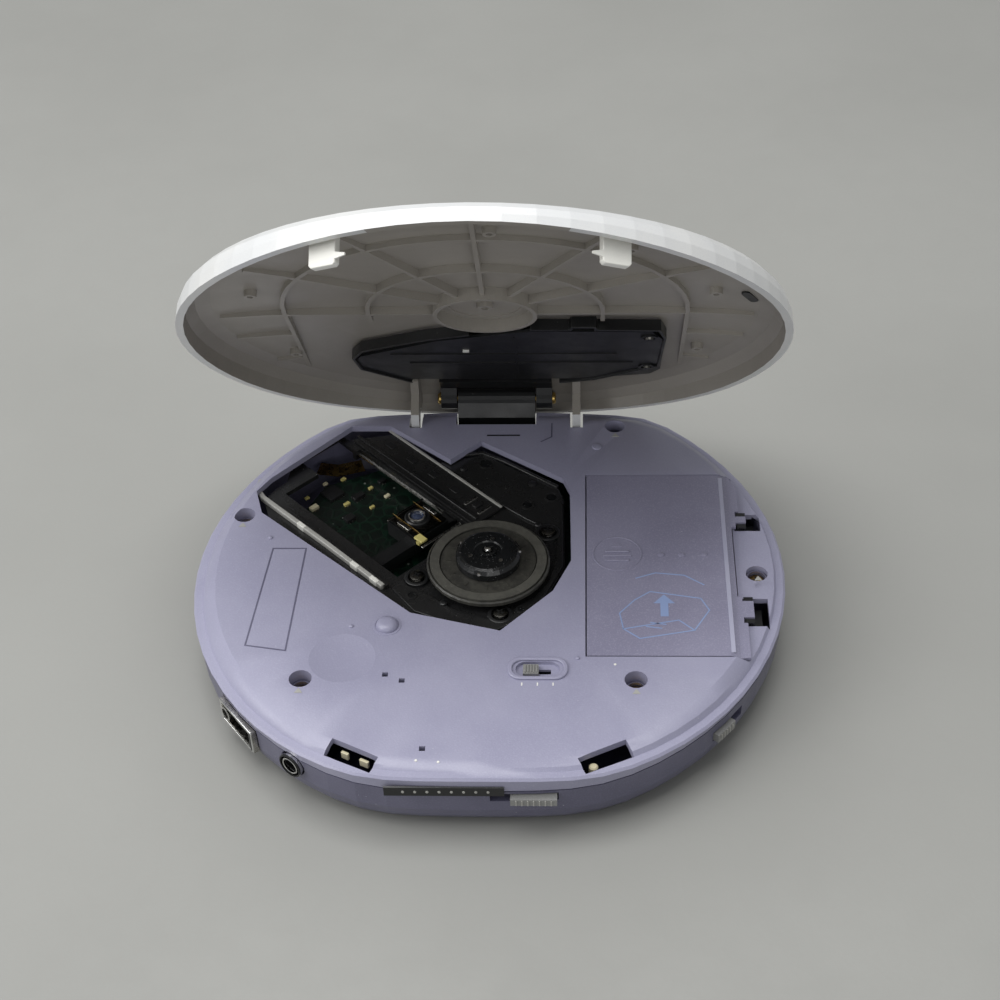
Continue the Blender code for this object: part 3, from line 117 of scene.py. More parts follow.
def specks(tree, place, scale, size, patchScale, rarity):
    cells = tree.nodes.new("ShaderNodeTexVoronoi")
    cells.inputs["Scale"].default_value = scale
    plug(tree, place, cells.inputs["Vector"])
    spot = rangeOf(tree, cells.outputs["Distance"], size * 0.6, size, 1.0, 0.0)
    patch = rangeOf(tree, noiseOf(tree, place, patchScale, 1), rarity, rarity + 0.06)
    return sumOf(tree, spot, patch)


def grainBump(tree, shader, heights):
    normal = None
    for source, distance in heights:
        bump = tree.nodes.new("ShaderNodeBump")
        bump.inputs["Distance"].default_value = distance
        plug(tree, source, bump.inputs["Height"])
        if normal is not None:
            tree.links.new(normal, bump.inputs["Normal"])
        normal = bump.outputs["Normal"]
    tree.links.new(normal, shader.inputs["Normal"])


# Moulded plastic and paint: a slow change of colour, a fine grain, uneven gloss and a little dust.
def mouldedFinish(name, look):
    material, tree, shader, place = blankFinish(name)
    cloud = noiseOf(tree, place, look.get("cloudScale", 45), 3)
    share = rangeOf(tree, cloud, 0.36, 0.66)
    colour = mixed(tree, share, look["colour"], look["second"])
    fleck = noiseOf(tree, place, look.get("fleckScale", 3200), 2)
    fleckShare = rangeOf(tree, fleck, 0.45, 0.75, 0.0, look.get("fleckShare", 0.25))
    colour = mixed(tree, fleckShare, colour, look.get("fleck", look["second"]))
    if "dust" in look:
        dust = specks(tree, place, look.get("dustScale", 700), look.get("dustSize", 0.10), 90,
                      look.get("dustRarity", 0.55))
        colour = mixed(tree, dust, colour, look["dust"])
    tree.links.new(colour, shader.inputs["Base Color"])
    low, high = look["gloss"]
    patches = noiseOf(tree, place, look.get("glossScale", 120), 4, 0.6)
    tree.links.new(rangeOf(tree, patches, 0.3, 0.7, low, high), shader.inputs["Roughness"])
    heights = [(noiseOf(tree, place, look.get("grainScale", 2600), 3), look.get("grain", 0.02) * mm)]
    if look.get("wave"):
        heights.append((noiseOf(tree, place, look.get("waveScale", 30), 1), look["wave"] * mm))
    grainBump(tree, shader, heights)
    shader.inputs["Metallic"].default_value = look.get("metal", 0.0)
    shader.inputs["Specular IOR Level"].default_value = look.get("specular", 0.5)
    shader.inputs["Coat Weight"].default_value = look.get("coat", 0.0)
    shader.inputs["Coat Roughness"].default_value = look.get("coatGloss", 0.12)
    return material


# Drawn or turned metal with fine lines in one direction.
def metalFinish(name, look):
    material, tree, shader, place = blankFinish(name)
    lines = noiseOf(tree, stretched(tree, place, *look.get("stretch", (1, 1, 12))), look.get("lineScale", 900), 3)
    cloud = noiseOf(tree, place, look.get("cloudScale", 160), 3)
    colour = mixed(tree, rangeOf(tree, cloud, 0.35, 0.65), look["colour"], look["second"])
    colour = mixed(tree, rangeOf(tree, lines, 0.45, 0.7, 0.0, 0.35), colour, look["second"])
    tree.links.new(colour, shader.inputs["Base Color"])
    low, high = look["gloss"]
    tree.links.new(rangeOf(tree, lines, 0.3, 0.7, low, high), shader.inputs["Roughness"])
    grainBump(tree, shader, [(lines, look.get("grain", 0.006) * mm)])
    shader.inputs["Metallic"].default_value = 1.0
    return material


# Bare board: green lacquer, copper runs in a grid of cells and pale solder dots.
def boardFinish(name, look):
    material, tree, shader, place = blankFinish(name)
    cells = tree.nodes.new("ShaderNodeTexVoronoi")
    cells.feature = "DISTANCE_TO_EDGE"
    cells.distance = "EUCLIDEAN"
    cells.inputs["Scale"].default_value = 330
    plug(tree, place, cells.inputs["Vector"])
    runs = rangeOf(tree, cells.outputs["Distance"], 0.05, 0.11, 1.0, 0.0)
    colour = mixed(tree, runs, look["colour"], look["run"])
    cloud = noiseOf(tree, place, 60, 3)
    colour = mixed(tree, rangeOf(tree, cloud, 0.4, 0.6, 0.0, 0.5), colour, look["second"])
    solder = specks(tree, place, 420, 0.16, 70, 0.5)
    colour = mixed(tree, solder, colour, look["solder"])
    tree.links.new(colour, shader.inputs["Base Color"])
    tree.links.new(rangeOf(tree, cloud, 0.3, 0.7, 0.25, 0.45), shader.inputs["Roughness"])
    grainBump(tree, shader, [(runs, 0.03 * mm), (solder, 0.06 * mm)])
    return material


# Rubber ring or table top with fine marks that run round the spindle.
def turnedFinish(name, look):
    material, tree, shader, place = blankFinish(name)
    away = tree.nodes.new("ShaderNodeVectorMath")
    away.operation = "LENGTH"
    flat = stretched(tree, place, 1, 1, 0)
    tree.links.new(flat, away.inputs[0])
    rings = noiseOf(tree, away.outputs["Value"], look.get("ringScale", 2600), 2)
    cloud = noiseOf(tree, place, look.get("cloudScale", 420), 4, 0.7)
    colour = mixed(tree, rangeOf(tree, cloud, 0.38, 0.64), look["colour"], look["second"])
    dust = specks(tree, place, 1500, 0.16, 160, 0.5)
    colour = mixed(tree, dust, colour, look["dust"])
    tree.links.new(colour, shader.inputs["Base Color"])
    low, high = look["gloss"]
    tree.links.new(rangeOf(tree, cloud, 0.3, 0.7, low, high), shader.inputs["Roughness"])
    grainBump(tree, shader, [(rings, 0.01 * mm), (noiseOf(tree, place, 2800, 2), look.get("grain", 0.03) * mm)])
    return material


caseLook = {
    "colour": tone(158, 157, 179), "second": tone(151, 150, 173), "fleck": tone(174, 173, 193),
    "fleckShare": 0.35, "dust": tone(196, 196, 205), "dustScale": 420, "dustSize": 0.05, "dustRarity": 0.52,
    "gloss": (0.30, 0.40), "grain": 0.035, "grainScale": 2300, "specular": 0.6,
}
# The lower case takes the deck's lavender made darker: painted shade on walls that face down, away from the lamps. The
# same darker lavender also draws thin lines on the deck.
shadeAndLineLook = dict(caseLook, colour=tone(104, 103, 124), second=tone(92, 91, 112), fleck=tone(122, 121, 142))
doorLook = dict(caseLook, colour=tone(142, 140, 162), second=tone(134, 132, 154), gloss=(0.28, 0.36))
chassisLook = {
    "colour": tone(26, 26, 27), "second": tone(34, 34, 34), "fleck": tone(52, 52, 50), "fleckShare": 0.3,
    "dust": tone(150, 150, 145), "dustScale": 520, "dustSize": 0.07, "dustRarity": 0.5,
    "gloss": (0.20, 0.34), "grain": 0.03, "grainScale": 1800, "specular": 0.6,
}
blackLook = {
    "colour": tone(22, 23, 24), "second": tone(30, 30, 31), "fleck": tone(44, 44, 44), "fleckShare": 0.2,
    "dust": tone(130, 130, 126), "dustScale": 600, "dustSize": 0.06, "dustRarity": 0.56,
    "gloss": (0.28, 0.42), "grain": 0.02,
}
lidInsideLook = {
    "colour": tone(158, 153, 145), "second": tone(148, 143, 135), "fleck": tone(168, 163, 155),
    "fleckShare": 0.25, "cloudScale": 26, "gloss": (0.30, 0.42), "grain": 0.02, "grainScale": 1500,
    "dust": tone(170, 166, 160), "dustScale": 500, "dustSize": 0.05, "dustRarity": 0.58, "specular": 0.45,
}
lidOutsideLook = {
    "colour": tone(222, 222, 220), "second": tone(215, 216, 216), "fleck": tone(202, 204, 208),
    "fleckShare": 0.35, "fleckScale": 4200, "gloss": (0.30, 0.38), "grain": 0.008, "coat": 0.25, "coatGloss": 0.12,
}
whiteLook = {
    "colour": tone(238, 237, 230), "second": tone(231, 230, 222), "gloss": (0.30, 0.42), "grain": 0.01,
}
creamLook = {
    "colour": tone(226, 218, 186), "second": tone(208, 198, 164), "gloss": (0.35, 0.5), "grain": 0.02,
}
greyLook = {
    "colour": tone(150, 150, 148), "second": tone(134, 134, 132), "fleck": tone(170, 170, 167),
    "gloss": (0.26, 0.4), "grain": 0.025, "dust": tone(210, 210, 206), "dustSize": 0.05,
}
railLook = dict(greyLook, colour=tone(176, 175, 170), second=tone(160, 159, 154))
yellowLook = {
    "colour": tone(214, 202, 128), "second": tone(190, 176, 104), "gloss": (0.35, 0.5), "grain": 0.02,
}
steelLook = {"colour": tone(205, 203, 198), "second": tone(168, 166, 160), "gloss": (0.16, 0.32)}
chromeLook = {"colour": tone(232, 232, 230), "second": tone(210, 210, 208), "gloss": (0.05, 0.12)}
brassLook = {"colour": tone(206, 176, 106), "second": tone(150, 120, 70), "gloss": (0.22, 0.4)}
darkMetalLook = {
    "colour": tone(96, 94, 90), "second": tone(70, 69, 66), "gloss": (0.20, 0.34), "stretch": (1, 14, 1),
}

deckFinish = mouldedFinish("satin lavender paint", caseLook)
shadeAndLineFinish = mouldedFinish("lavender darkened for painted shade and lines", shadeAndLineLook)
doorFinish = mouldedFinish("lavender door", doorLook)
chassisFinish = mouldedFinish("glossy black moulding", chassisLook)
blackFinish = mouldedFinish("black plastic", blackLook)
lidInsideFinish = mouldedFinish("warm grey moulding", lidInsideLook)
lidOutsideFinish = mouldedFinish("pearl white lacquer", lidOutsideLook)
whiteFinish = mouldedFinish("white catch plastic", whiteLook)
creamFinish = mouldedFinish("cream plastic", creamLook)
greyFinish = mouldedFinish("grey plastic", greyLook)
railFinish = mouldedFinish("light grey rail", railLook)
yellowFinish = mouldedFinish("yellowed plastic", yellowLook)
steelFinish = metalFinish("drawn steel", steelLook)
chromeFinish = metalFinish("polished steel", chromeLook)
brassFinish = metalFinish("brass", brassLook)
darkMetalFinish = metalFinish("dark plated sheet", darkMetalLook)
boardLook = {
    "colour": tone(7, 22, 16), "second": tone(10, 15, 12), "run": tone(12, 40, 27), "solder": tone(128, 136, 128),
}
boardPlastic = boardFinish("green board", boardLook)
ringFinish = turnedFinish("rubber ring", {
    "colour": tone(84, 83, 77), "second": tone(72, 71, 66), "dust": tone(120, 119, 112), "gloss": (0.42, 0.6),
})
tableFinish = turnedFinish("turntable plastic", {
    "colour": tone(66, 65, 60), "second": tone(48, 47, 44), "dust": tone(108, 107, 100), "gloss": (0.30, 0.5),
})
hubFinish = turnedFinish("hub plastic", {
    "colour": tone(24, 25, 26), "second": tone(18, 19, 20), "dust": tone(110, 112, 112), "gloss": (0.16, 0.28),
    "grain": 0.01,
})
print("finishes ready")


# Shapes in mesh code

def roundedOutline(width, height, radius, centre=(0, 0), steps=5):
    points = []
    for cornerX, cornerY, start in ((1, 1, 0), (-1, 1, 90), (-1, -1, 180), (1, -1, 270)):
        for step in range(steps + 1):
            angle = math.radians(start + 90 * step / steps)
            points.append((centre[0] + cornerX * (width / 2 - radius) + radius * math.cos(angle),
                           centre[1] + cornerY * (height / 2 - radius) + radius * math.sin(angle)))
    return points


def circleOutline(radius, centre=(0, 0), steps=32):
    return [(centre[0] + radius * math.cos(fullTurn * step / steps),
             centre[1] + radius * math.sin(fullTurn * step / steps)) for step in range(steps)]


def turnedOutline(points, degrees, centre=(0, 0)):
    spin = Matrix.Rotation(math.radians(degrees), 2)
    return [tuple(spin @ Vector(point) + Vector(centre)) for point in points]


def plateShape(outer, low, high, holes=()):
    shape = bmesh.new()
    rings = []
    for level in (low, high):
        edges = []
        for loop in (outer, *holes):
            ring = [shape.verts.new((x, y, level)) for x, y in loop]
            edges += [shape.edges.new((ring[i], ring[(i + 1) % len(ring)])) for i in range(len(ring))]
            rings.append(ring)
        bmesh.ops.triangle_fill(shape, use_beauty=True, use_dissolve=True, edges=edges)
    loopCount = 1 + len(holes)
    for index in range(loopCount):
        below, above = rings[index], rings[index + loopCount]
        for i in range(len(below)):
            j = (i + 1) % len(below)
            shape.faces.new((below[i], below[j], above[j], above[i]))
    return shape


# A closed profile of (radius, height) points turned round Z.
def turnedShape(profile, steps=48):
    shape = bmesh.new()
    rings = []
    for radius, height in profile:
        if radius < 1e-7:
            rings.append([shape.verts.new((0, 0, height))])
        else:
            rings.append([shape.verts.new((radius * math.cos(fullTurn * s / steps),
                                           radius * math.sin(fullTurn * s / steps), height)) for s in range(steps)])
    for index, ring in enumerate(rings):
        after = rings[(index + 1) % len(rings)]
        for s in range(steps):
            t = (s + 1) % steps
            corners = [ring[s % len(ring)], ring[t % len(ring)], after[t % len(after)], after[s % len(after)]]
            corners = list(dict.fromkeys(corners))
            if len(corners) > 2:
                shape.faces.new(corners)
    return shape


def tubeShape(path, radius, sides=10):
    shape = bmesh.new()
    path = [Vector(point) for point in path]
    rings = []
    side = None
    for index, point in enumerate(path):
        ahead = (path[min(index + 1, len(path) - 1)] - path[max(index - 1, 0)]).normalized()
        if side is None:
            side = ahead.orthogonal().normalized()
        side = (side - ahead * side.dot(ahead)).normalized()
        up = ahead.cross(side)
        rings.append([shape.verts.new(point + radius * (side * math.cos(fullTurn * s / sides)
                                                        + up * math.sin(fullTurn * s / sides)))
                      for s in range(sides)])
    for before, after in zip(rings, rings[1:]):
        for s in range(sides):
            t = (s + 1) % sides
            shape.faces.new((before[s], before[t], after[t], after[s]))
    shape.faces.new(reversed(rings[0]))
    shape.faces.new(rings[-1])
    return shape


# A flat line of one width along a plan path, mitred at its corners.
def stripOutline(path, width, closed=False):
    points = [Vector(point) for point in path]
    count = len(points)
    left, right = [], []
    for index, point in enumerate(points):
        before = points[index - 1] if index or closed else None
        after = points[(index + 1) % count] if index < count - 1 or closed else None
        first = (point - before).normalized() if before is not None else (after - point).normalized()
        last = (after - point).normalized() if after is not None else first
        normal = Vector((-(first + last).y, (first + last).x))
        if normal.length < 1e-6:
            normal = Vector((-first.y, first.x))
        normal.normalize()
        across = width / 2 / max(0.35, normal.dot(Vector((-first.y, first.x))))
        left.append(tuple(point + normal * across))
        right.append(tuple(point - normal * across))
    return left, right


def stripShape(path, width, low, high, closed=False):
    left, right = stripOutline(path, width, closed)
    if closed:
        return plateShape(left, low, high, [right]) if ringArea(left) > ringArea(right) else \
            plateShape(right, low, high, [left])
    shape = bmesh.new()
    grid = []
    for (leftX, leftY), (rightX, rightY) in zip(left, right):
        grid.append([shape.verts.new((leftX, leftY, low)), shape.verts.new((rightX, rightY, low)),
                     shape.verts.new((rightX, rightY, high)), shape.verts.new((leftX, leftY, high))])
    for before, after in zip(grid, grid[1:]):
        for s in range(4):
            t = (s + 1) % 4
            shape.faces.new((before[s], before[t], after[t], after[s]))
    shape.faces.new(reversed(grid[0]))
    shape.faces.new(grid[-1])
    return shape


def ringArea(points):
    return abs(sum(points[i][0] * points[(i + 1) % len(points)][1] - points[(i + 1) % len(points)][0] * points[i][1]
                   for i in range(len(points)))) / 2


def arcPath(centre, radius, start, end, steps=16):
    return [(centre[0] + radius * math.cos(math.radians(start + (end - start) * s / steps)),
             centre[1] + radius * math.sin(math.radians(start + (end - start) * s / steps)))
            for s in range(steps + 1)]


def mergedShape(shapes):
    whole = bmesh.new()
    for shape in shapes:
        part = bpy.data.meshes.new("part")
        shape.to_mesh(part)
        shape.free()
        whole.from_mesh(part)
        bpy.data.meshes.remove(part)
    return whole


def addPiece(name, shape, finish, body, place=None, bend=None, edge=0.0, sharp=38):
    if place is not None:
        shape.transform(place)
    if bend is not None:
        for vert in shape.verts:
            vert.co = bend(vert.co)
    bmesh.ops.recalc_face_normals(shape, faces=shape.faces)
    mesh = bpy.data.meshes.new(name)
    shape.to_mesh(mesh)
    shape.free()
    piece = bpy.data.objects.new(name.replace(" ", "_"), mesh)
    scene.collection.objects.link(piece)
    mesh.materials.append(finish)
    mesh.polygons.foreach_set("use_smooth", [True] * len(mesh.polygons))
    mesh.set_sharp_from_angle(angle=math.radians(sharp))
    if edge:
        rounding = piece.modifiers.new("edge", "BEVEL")
        rounding.width = edge
        rounding.segments = 2
        rounding.limit_method = "ANGLE"
        rounding.angle_limit = math.radians(40)
        rounding.harden_normals = False
    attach(piece, body)
    return piece


def at(x, y, z=0.0):
    return Matrix.Translation((x, y, z))


# Where a ray from outside first meets the case wall, and the way the wall faces there.
def wallTree(*names):
    points, faces = [], []
    for name in names:
        start = len(points)
        mesh = nodes[name].data
        points += [vert.co.copy() for vert in mesh.vertices]
        faces += [[start + index for index in face.vertices] for face in mesh.polygons]
    return BVHTree.FromPolygons(points, faces)


caseTree = wallTree("lower_case", "upper_case")


def wallPoint(azimuth, height):
    # azimuth 0 is the front and 90 the right
    angle = math.radians(azimuth)
    outward = Vector((math.sin(angle), -math.cos(angle), 0))
    hit, normal, _, _ = caseTree.ray_cast(outward * 0.1 + Vector((0, 0, height)), -outward)
    return hit, normal


# Shapes drawn flat, x along the wall, y up it and z out of it, are laid on the wall.
def onWall(azimuth, height, bodyRadius=0.0655):
    def bend(point):
        angle = azimuth + math.degrees(point.x / bodyRadius)
        hit, normal = wallPoint(angle, height + point.y)
        return hit + normal * point.z
    return bend


deckZ = 17.0 * mm
hinge = Vector((0, 60.0 * mm, 18.5 * mm))
lidPlace = Matrix.Translation(hinge) @ Matrix.Rotation(math.radians(-54), 4, "X") @ Matrix.Translation(-hinge)
sledAcross = Vector((math.sqrt(0.5), math.sqrt(0.5)))
sledAlong = Vector((-math.sqrt(0.5), math.sqrt(0.5)))


def onSled(u, v):
    return tuple(sledAlong * u + sledAcross * v)


# The frame's own nodes get their finishes.

def paintNode(name, *finishes):
    slots = nodes[name].data.materials
    slots.clear()
    for item in finishes:
        slots.append(item)
    mesh = nodes[name].data
    mesh.polygons.foreach_set("use_smooth", [True] * len(mesh.polygons))
    mesh.set_sharp_from_angle(angle=math.radians(32))


nodeFinishes = {
    deckFinish: ["upper_case"],
    shadeAndLineFinish: ["lower_case"],
    doorFinish: ["battery_door"],
    chassisFinish: ["mechanism_chassis", "rail_cover"],
    blackFinish: ["battery_bay", "battery_pack", "spindle_motor", "pickup_sled", "latch_bar", "headphone_jack",
                  "hinge_block", "hinge_bracket", "lid_inner_cover", "door_slider_front", "door_slider_rear",
                  "chassis_damper_1", "chassis_damper_2", "chassis_damper_3", "display_module"],
    steelFinish: ["guide_rod_near", "guide_rod_far", "feed_motor", "door_pin_front", "door_pin_rear",
                  "side_socket", "battery_contact"],
    chromeFinish: ["spindle_shaft", "jack_ring"],
    brassFinish: ["hinge_pin", "case_screw_1", "case_screw_2", "case_screw_3", "case_screw_4", "case_screw_5"],
    darkMetalFinish: ["pickup_cover", "chassis_screw_1", "chassis_screw_2", "chassis_screw_3",
                      "lid_cover_screw_1", "lid_cover_screw_2"],
    whiteFinish: ["lead_screw"],
    boardPlastic: ["main_board", "lid_board"],
    ringFinish: ["friction_ring"],
    tableFinish: ["turntable"],
    hubFinish: ["spindle_hub"],
    yellowFinish: ["focus_block"],
    greyFinish: ["open_knob", "hold_switch", "mode_switch", "key_back", "key_play", "key_stop", "key_next"],
    creamFinish: ["latch_nose"],
}
for item, names in nodeFinishes.items():
    for name in names:
        paintNode(name, item)


def glassFinish(name, colour, gloss, clear):
    material, tree, shader, place = blankFinish(name)
    haze = noiseOf(tree, place, 500, 2)
    tree.links.new(rangeOf(tree, haze, 0.3, 0.7, gloss, gloss * 1.8), shader.inputs["Roughness"])
    cloud = mixed(tree, rangeOf(tree, noiseOf(tree, place, 200, 1), 0.3, 0.7), colour,
                  tuple(min(1.0, level * 1.3 + 0.01) for level in colour[:3]) + (1.0,))
    tree.links.new(cloud, shader.inputs["Base Color"])
    shader.inputs["Transmission Weight"].default_value = clear
    shader.inputs["Coat Weight"].default_value = 0.5
    shader.inputs["Coat Roughness"].default_value = 0.03
    return material


lensFinish = glassFinish("lens glass", tone(60, 70, 96), 0.04, 0.35)
windowFinish = glassFinish("display window", tone(44, 50, 54), 0.08, 0.3)
paintNode("objective_lens", lensFinish)
paintNode("display_window", windowFinish)

# The lid is white outside and warm grey inside. Each face takes its side from the way it faces.
paintNode("lid_shell", lidInsideFinish, lidOutsideFinish, whiteFinish)
lidBack = lidPlace.inverted()
lidMesh = nodes["lid_shell"].data
closedPoints = [lidBack @ vert.co for vert in lidMesh.vertices]
closedTree = BVHTree.FromPolygons(closedPoints, [list(face.vertices) for face in lidMesh.polygons])
hookPlaces = [(at(side * 26.75 * mm, -58.65 * mm) @ Matrix.Rotation(math.radians(side * 27), 4, "Z")).inverted()
              for side in (-1, 1)]
for face in lidMesh.polygons:
    centre = sum((closedPoints[index] for index in face.vertices), Vector()) / len(face.vertices)
    normal = (lidBack.to_3x3() @ face.normal).normalized()
    flatAway = Vector((centre.x, centre.y, 0)).normalized()
    outside = normal.z > 0.05 or (normal.dot(flatAway) > 0.3 and normal.z > -0.5)
    if outside:
        hit = closedTree.ray_cast(centre + normal * 0.02 * mm, normal)[0]
        outside = hit is None and Vector((centre.x, centre.y, 0)).length > 40 * mm or normal.z > 0.35 and hit is None
    if centre.z < 16.2 * mm and normal.z < -0.6:
        outside = True
    local = [place @ centre for place in hookPlaces]
    if centre.z < 23.0 * mm and any(abs(spot.x) < 4.8 * mm and abs(spot.y) < 0.95 * mm for spot in local):
        face.material_index = 2
    else:
        face.material_index = 1 if outside else 0
print("frame painted")


# Mechanism: plates, screws and small parts round the turntable

def millimetres(points):
    return [(x * mm, y * mm) for x, y in points]


def crossScrew(name, x, y, z, look, body="root", place=None):
    # a domed head with a cross cut into it, as two dark bars let in that paint the shade in the cut
    head = turnedShape([(0, z * mm), (look["head"] * mm, z * mm), (look["head"] * mm, (z + 0.25) * mm),
                        (look["head"] * 0.7 * mm, (z + 0.48) * mm), (0, (z + 0.55) * mm)], 32)
    base = place or Matrix.Identity(4)
    addPiece(name + " head", head, look["finish"], body, place=base @ at(x * mm, y * mm))
    for turn in (look["turn"], look["turn"] + 90):
        bar = plateShape(roundedOutline(look["head"] * 1.15 * mm, 0.34 * mm, 0.1 * mm), (z + 0.4) * mm,
                         (z + 0.585) * mm)
        addPiece(f"{name} cut {turn}", bar, look["cutFinish"], body,
                 place=base @ at(x * mm, y * mm) @ Matrix.Rotation(math.radians(turn), 4, "Z"))


coverPlate = {
    "low": 14.42, "high": 14.98, "edge": 0.12,
    "outer": [(-20.2, -3.0), (-22.0, -6.6), (-16.6, -13.8), (-8.0, -17.8), (2.6, -19.9), (8.4, -16.2),
              (13.4, -8.4), (17.3, 1.2), (17.2, 14.0), (17.0, 25.0), (15.2, 28.6), (-2.8, 41.6), (-13.6, 38.6),
              (3.6, 21.6), (8.4, 17.6), (10.9, 15.9), (15.2, 13.6), (16.0, 10.0), (15.7, 3.4), (14.2, -4.0),
              (10.8, -9.4), (6.8, -12.4), (5.9, -15.6), (3.2, -17.6), (0.4, -16.4), (-2.4, -15.0), (-8.4, -12.7),
              (-13.3, -8.6), (-16.0, -6.9), (-18.4, -5.6)],
}
addPiece("turntable surround", plateShape(millimetres(coverPlate["outer"]), coverPlate["low"] * mm,
                                          coverPlate["high"] * mm), chassisFinish, "root",
         edge=coverPlate["edge"] * mm)

lightLip = {
    "low": 14.3, "high": 15.75, "width": 1.25,
    "path": [(-57.2, 31.6), (-57.9, 28.4), (-55.9, 25.0), (-50.6, 19.9), (-38.9, 8.6), (-24.2, -6.1)],
}
addPiece("light lip", stripShape(millimetres(lightLip["path"]), lightLip["width"] * mm, lightLip["low"] * mm,
                                 lightLip["high"] * mm), railFinish, "root", edge=0.25 * mm)
rearBand = {
    "low": 14.2, "high": 15.1, "width": 0.8,
    "path": [(-50.8, 38.4), (-45.4, 44.6), (-40.4, 49.2)],
}
addPiece("rear band", stripShape(millimetres(rearBand["path"]), rearBand["width"] * mm, rearBand["low"] * mm,
                                 rearBand["high"] * mm), railFinish, "root", edge=0.2 * mm)
lipClips = [(-31.4, 0.8), (-45.4, 14.7), (-26.4, -4.2)]
for index, (x, y) in enumerate(lipClips):
    clip = plateShape(roundedOutline(2.6 * mm, 1.1 * mm, 0.25 * mm), 14.4 * mm, 15.9 * mm)
    addPiece(f"lip clip {index}", clip, whiteFinish, "root",
             place=at(x * mm, y * mm) @ Matrix.Rotation(math.radians(-45), 4, "Z"), edge=0.12 * mm)

for index, (x, y) in enumerate([(-16.6, -2.8), (3.2, -15.0), (13.6, 12.7)]):
    crossScrew(f"chassis screw {index + 1}", x, y, 15.38,
               {"head": 1.62, "finish": darkMetalFinish, "cutFinish": blackFinish, "turn": 20 + 35 * index})
    collar = turnedShape([(2.1 * mm, 14.4 * mm), (2.9 * mm, 14.4 * mm), (2.9 * mm, 15.05 * mm),
                          (2.7 * mm, 15.2 * mm), (2.1 * mm, 15.2 * mm)], 32)
    addPiece(f"damper collar {index + 1}", collar, blackFinish, "root", place=at(x * mm, y * mm))

smallPins = [(-9.9, -11.4, 0.9), (11.2, 15.3, 0.8), (-7.6, 36.0, 0.8), (9.6, 30.4, 1.0)]
for index, (x, y, radius) in enumerate(smallPins):
    pin = turnedShape([(0, 14.4 * mm), (radius * mm, 14.4 * mm), (radius * mm, 15.25 * mm),
                       (radius * 0.7 * mm, 15.45 * mm), (0, 15.45 * mm)], 24)
    addPiece(f"locating pin {index}", pin, blackFinish, "root", place=at(x * mm, y * mm))
# Each hole is a near-black disc inside a raised rim: painted shade in place of the opening.
darkHoles = [(-2.1, 38.2, 1.5), (14.3, 25.4, 1.3), (8.6, 22.6, 1.2), (-17.4, -8.9, 0.9), (7.9, -13.4, 0.8)]
for index, (x, y, radius) in enumerate(darkHoles):
    rim = turnedShape([(radius * mm, 14.9 * mm), ((radius + 0.45) * mm, 14.9 * mm),
                       ((radius + 0.45) * mm, 15.08 * mm), ((radius + 0.15) * mm, 15.16 * mm),
                       (radius * mm, 15.16 * mm)], 28)
    addPiece(f"hole rim {index}", rim, chassisFinish, "root", place=at(x * mm, y * mm))
    well = turnedShape([(0, 14.9 * mm), (radius * mm, 14.9 * mm), (radius * mm, 15.0 * mm), (0, 15.0 * mm)], 28)
    addPiece(f"hole well {index}", well, hubFinish, "root", place=at(x * mm, y * mm))
rearRidge = {"low": 14.9, "high": 15.6, "width": 0.9, "path": [(-12.4, 40.4), (-3.0, 42.0), (2.4, 38.8), (15.8, 28.9)]}
addPiece("rear ridge", stripShape(millimetres(rearRidge["path"]), rearRidge["width"] * mm, rearRidge["low"] * mm,
                                  rearRidge["high"] * mm), chassisFinish, "root", edge=0.15 * mm)

# Rail cover: a raised rib, two bright slots and end tabs, all drawn along the sled's way.
def sledPlate(name, u0, u1, v0, v1, low, high, finish, body="root", edge=0.12):
    corners = [onSled(u, v) for u, v in ((u0 * mm, v0 * mm), (u0 * mm, v1 * mm), (u1 * mm, v1 * mm),
                                         (u1 * mm, v0 * mm))]
    return addPiece(name, plateShape(corners, low * mm, high * mm), finish, body, edge=edge * mm)


sledPlate("rail rib", 14.6, 59.0, 9.3, 10.1, 15.28, 15.7, chassisFinish)
sledPlate("rail edge", 13.4, 60.0, 16.4, 17.1, 15.28, 15.62, railFinish)
sledPlate("rail slot near", 15.4, 16.2, 11.2, 15.2, 15.28, 15.42, steelFinish)
sledPlate("rail slot far", 20.2, 21.0, 11.2, 15.2, 15.28, 15.42, steelFinish)
sledPlate("rail tab", 17.4, 18.9, 12.0, 14.4, 15.28, 15.8, blackFinish)
for index, u in enumerate((25.0, 33.0, 41.0, 49.0)):
    sledPlate(f"rail pad {index}", u, u + 2.6, 12.4, 14.2, 15.28, 15.5, blackFinish)

# Pickup: lens barrel, suspension tabs, plated cover marks and the flexible strip behind it
lensMiddle = (-17.8, 17.8)
barrel = {"inner": 2.1, "outer": 3.1, "low": 14.9, "high": 15.7}
ring = turnedShape([(barrel["inner"] * mm, barrel["low"] * mm), (barrel["outer"] * mm, barrel["low"] * mm),
                    (barrel["outer"] * mm, (barrel["high"] - 0.25) * mm),
                    ((barrel["outer"] - 0.3) * mm, barrel["high"] * mm),
                    (barrel["inner"] * mm, barrel["high"] * mm)], 48)
addPiece("lens barrel", ring, blackFinish, "pickup", place=at(lensMiddle[0] * mm, lensMiddle[1] * mm))
rim = turnedShape([(1.62 * mm, 15.5 * mm), (2.12 * mm, 15.5 * mm), (2.12 * mm, 15.95 * mm), (1.9 * mm, 16.08 * mm),
                   (1.62 * mm, 16.0 * mm)], 48)
addPiece("lens bright rim", rim, chromeFinish, "pickup", place=at(lensMiddle[0] * mm, lensMiddle[1] * mm))
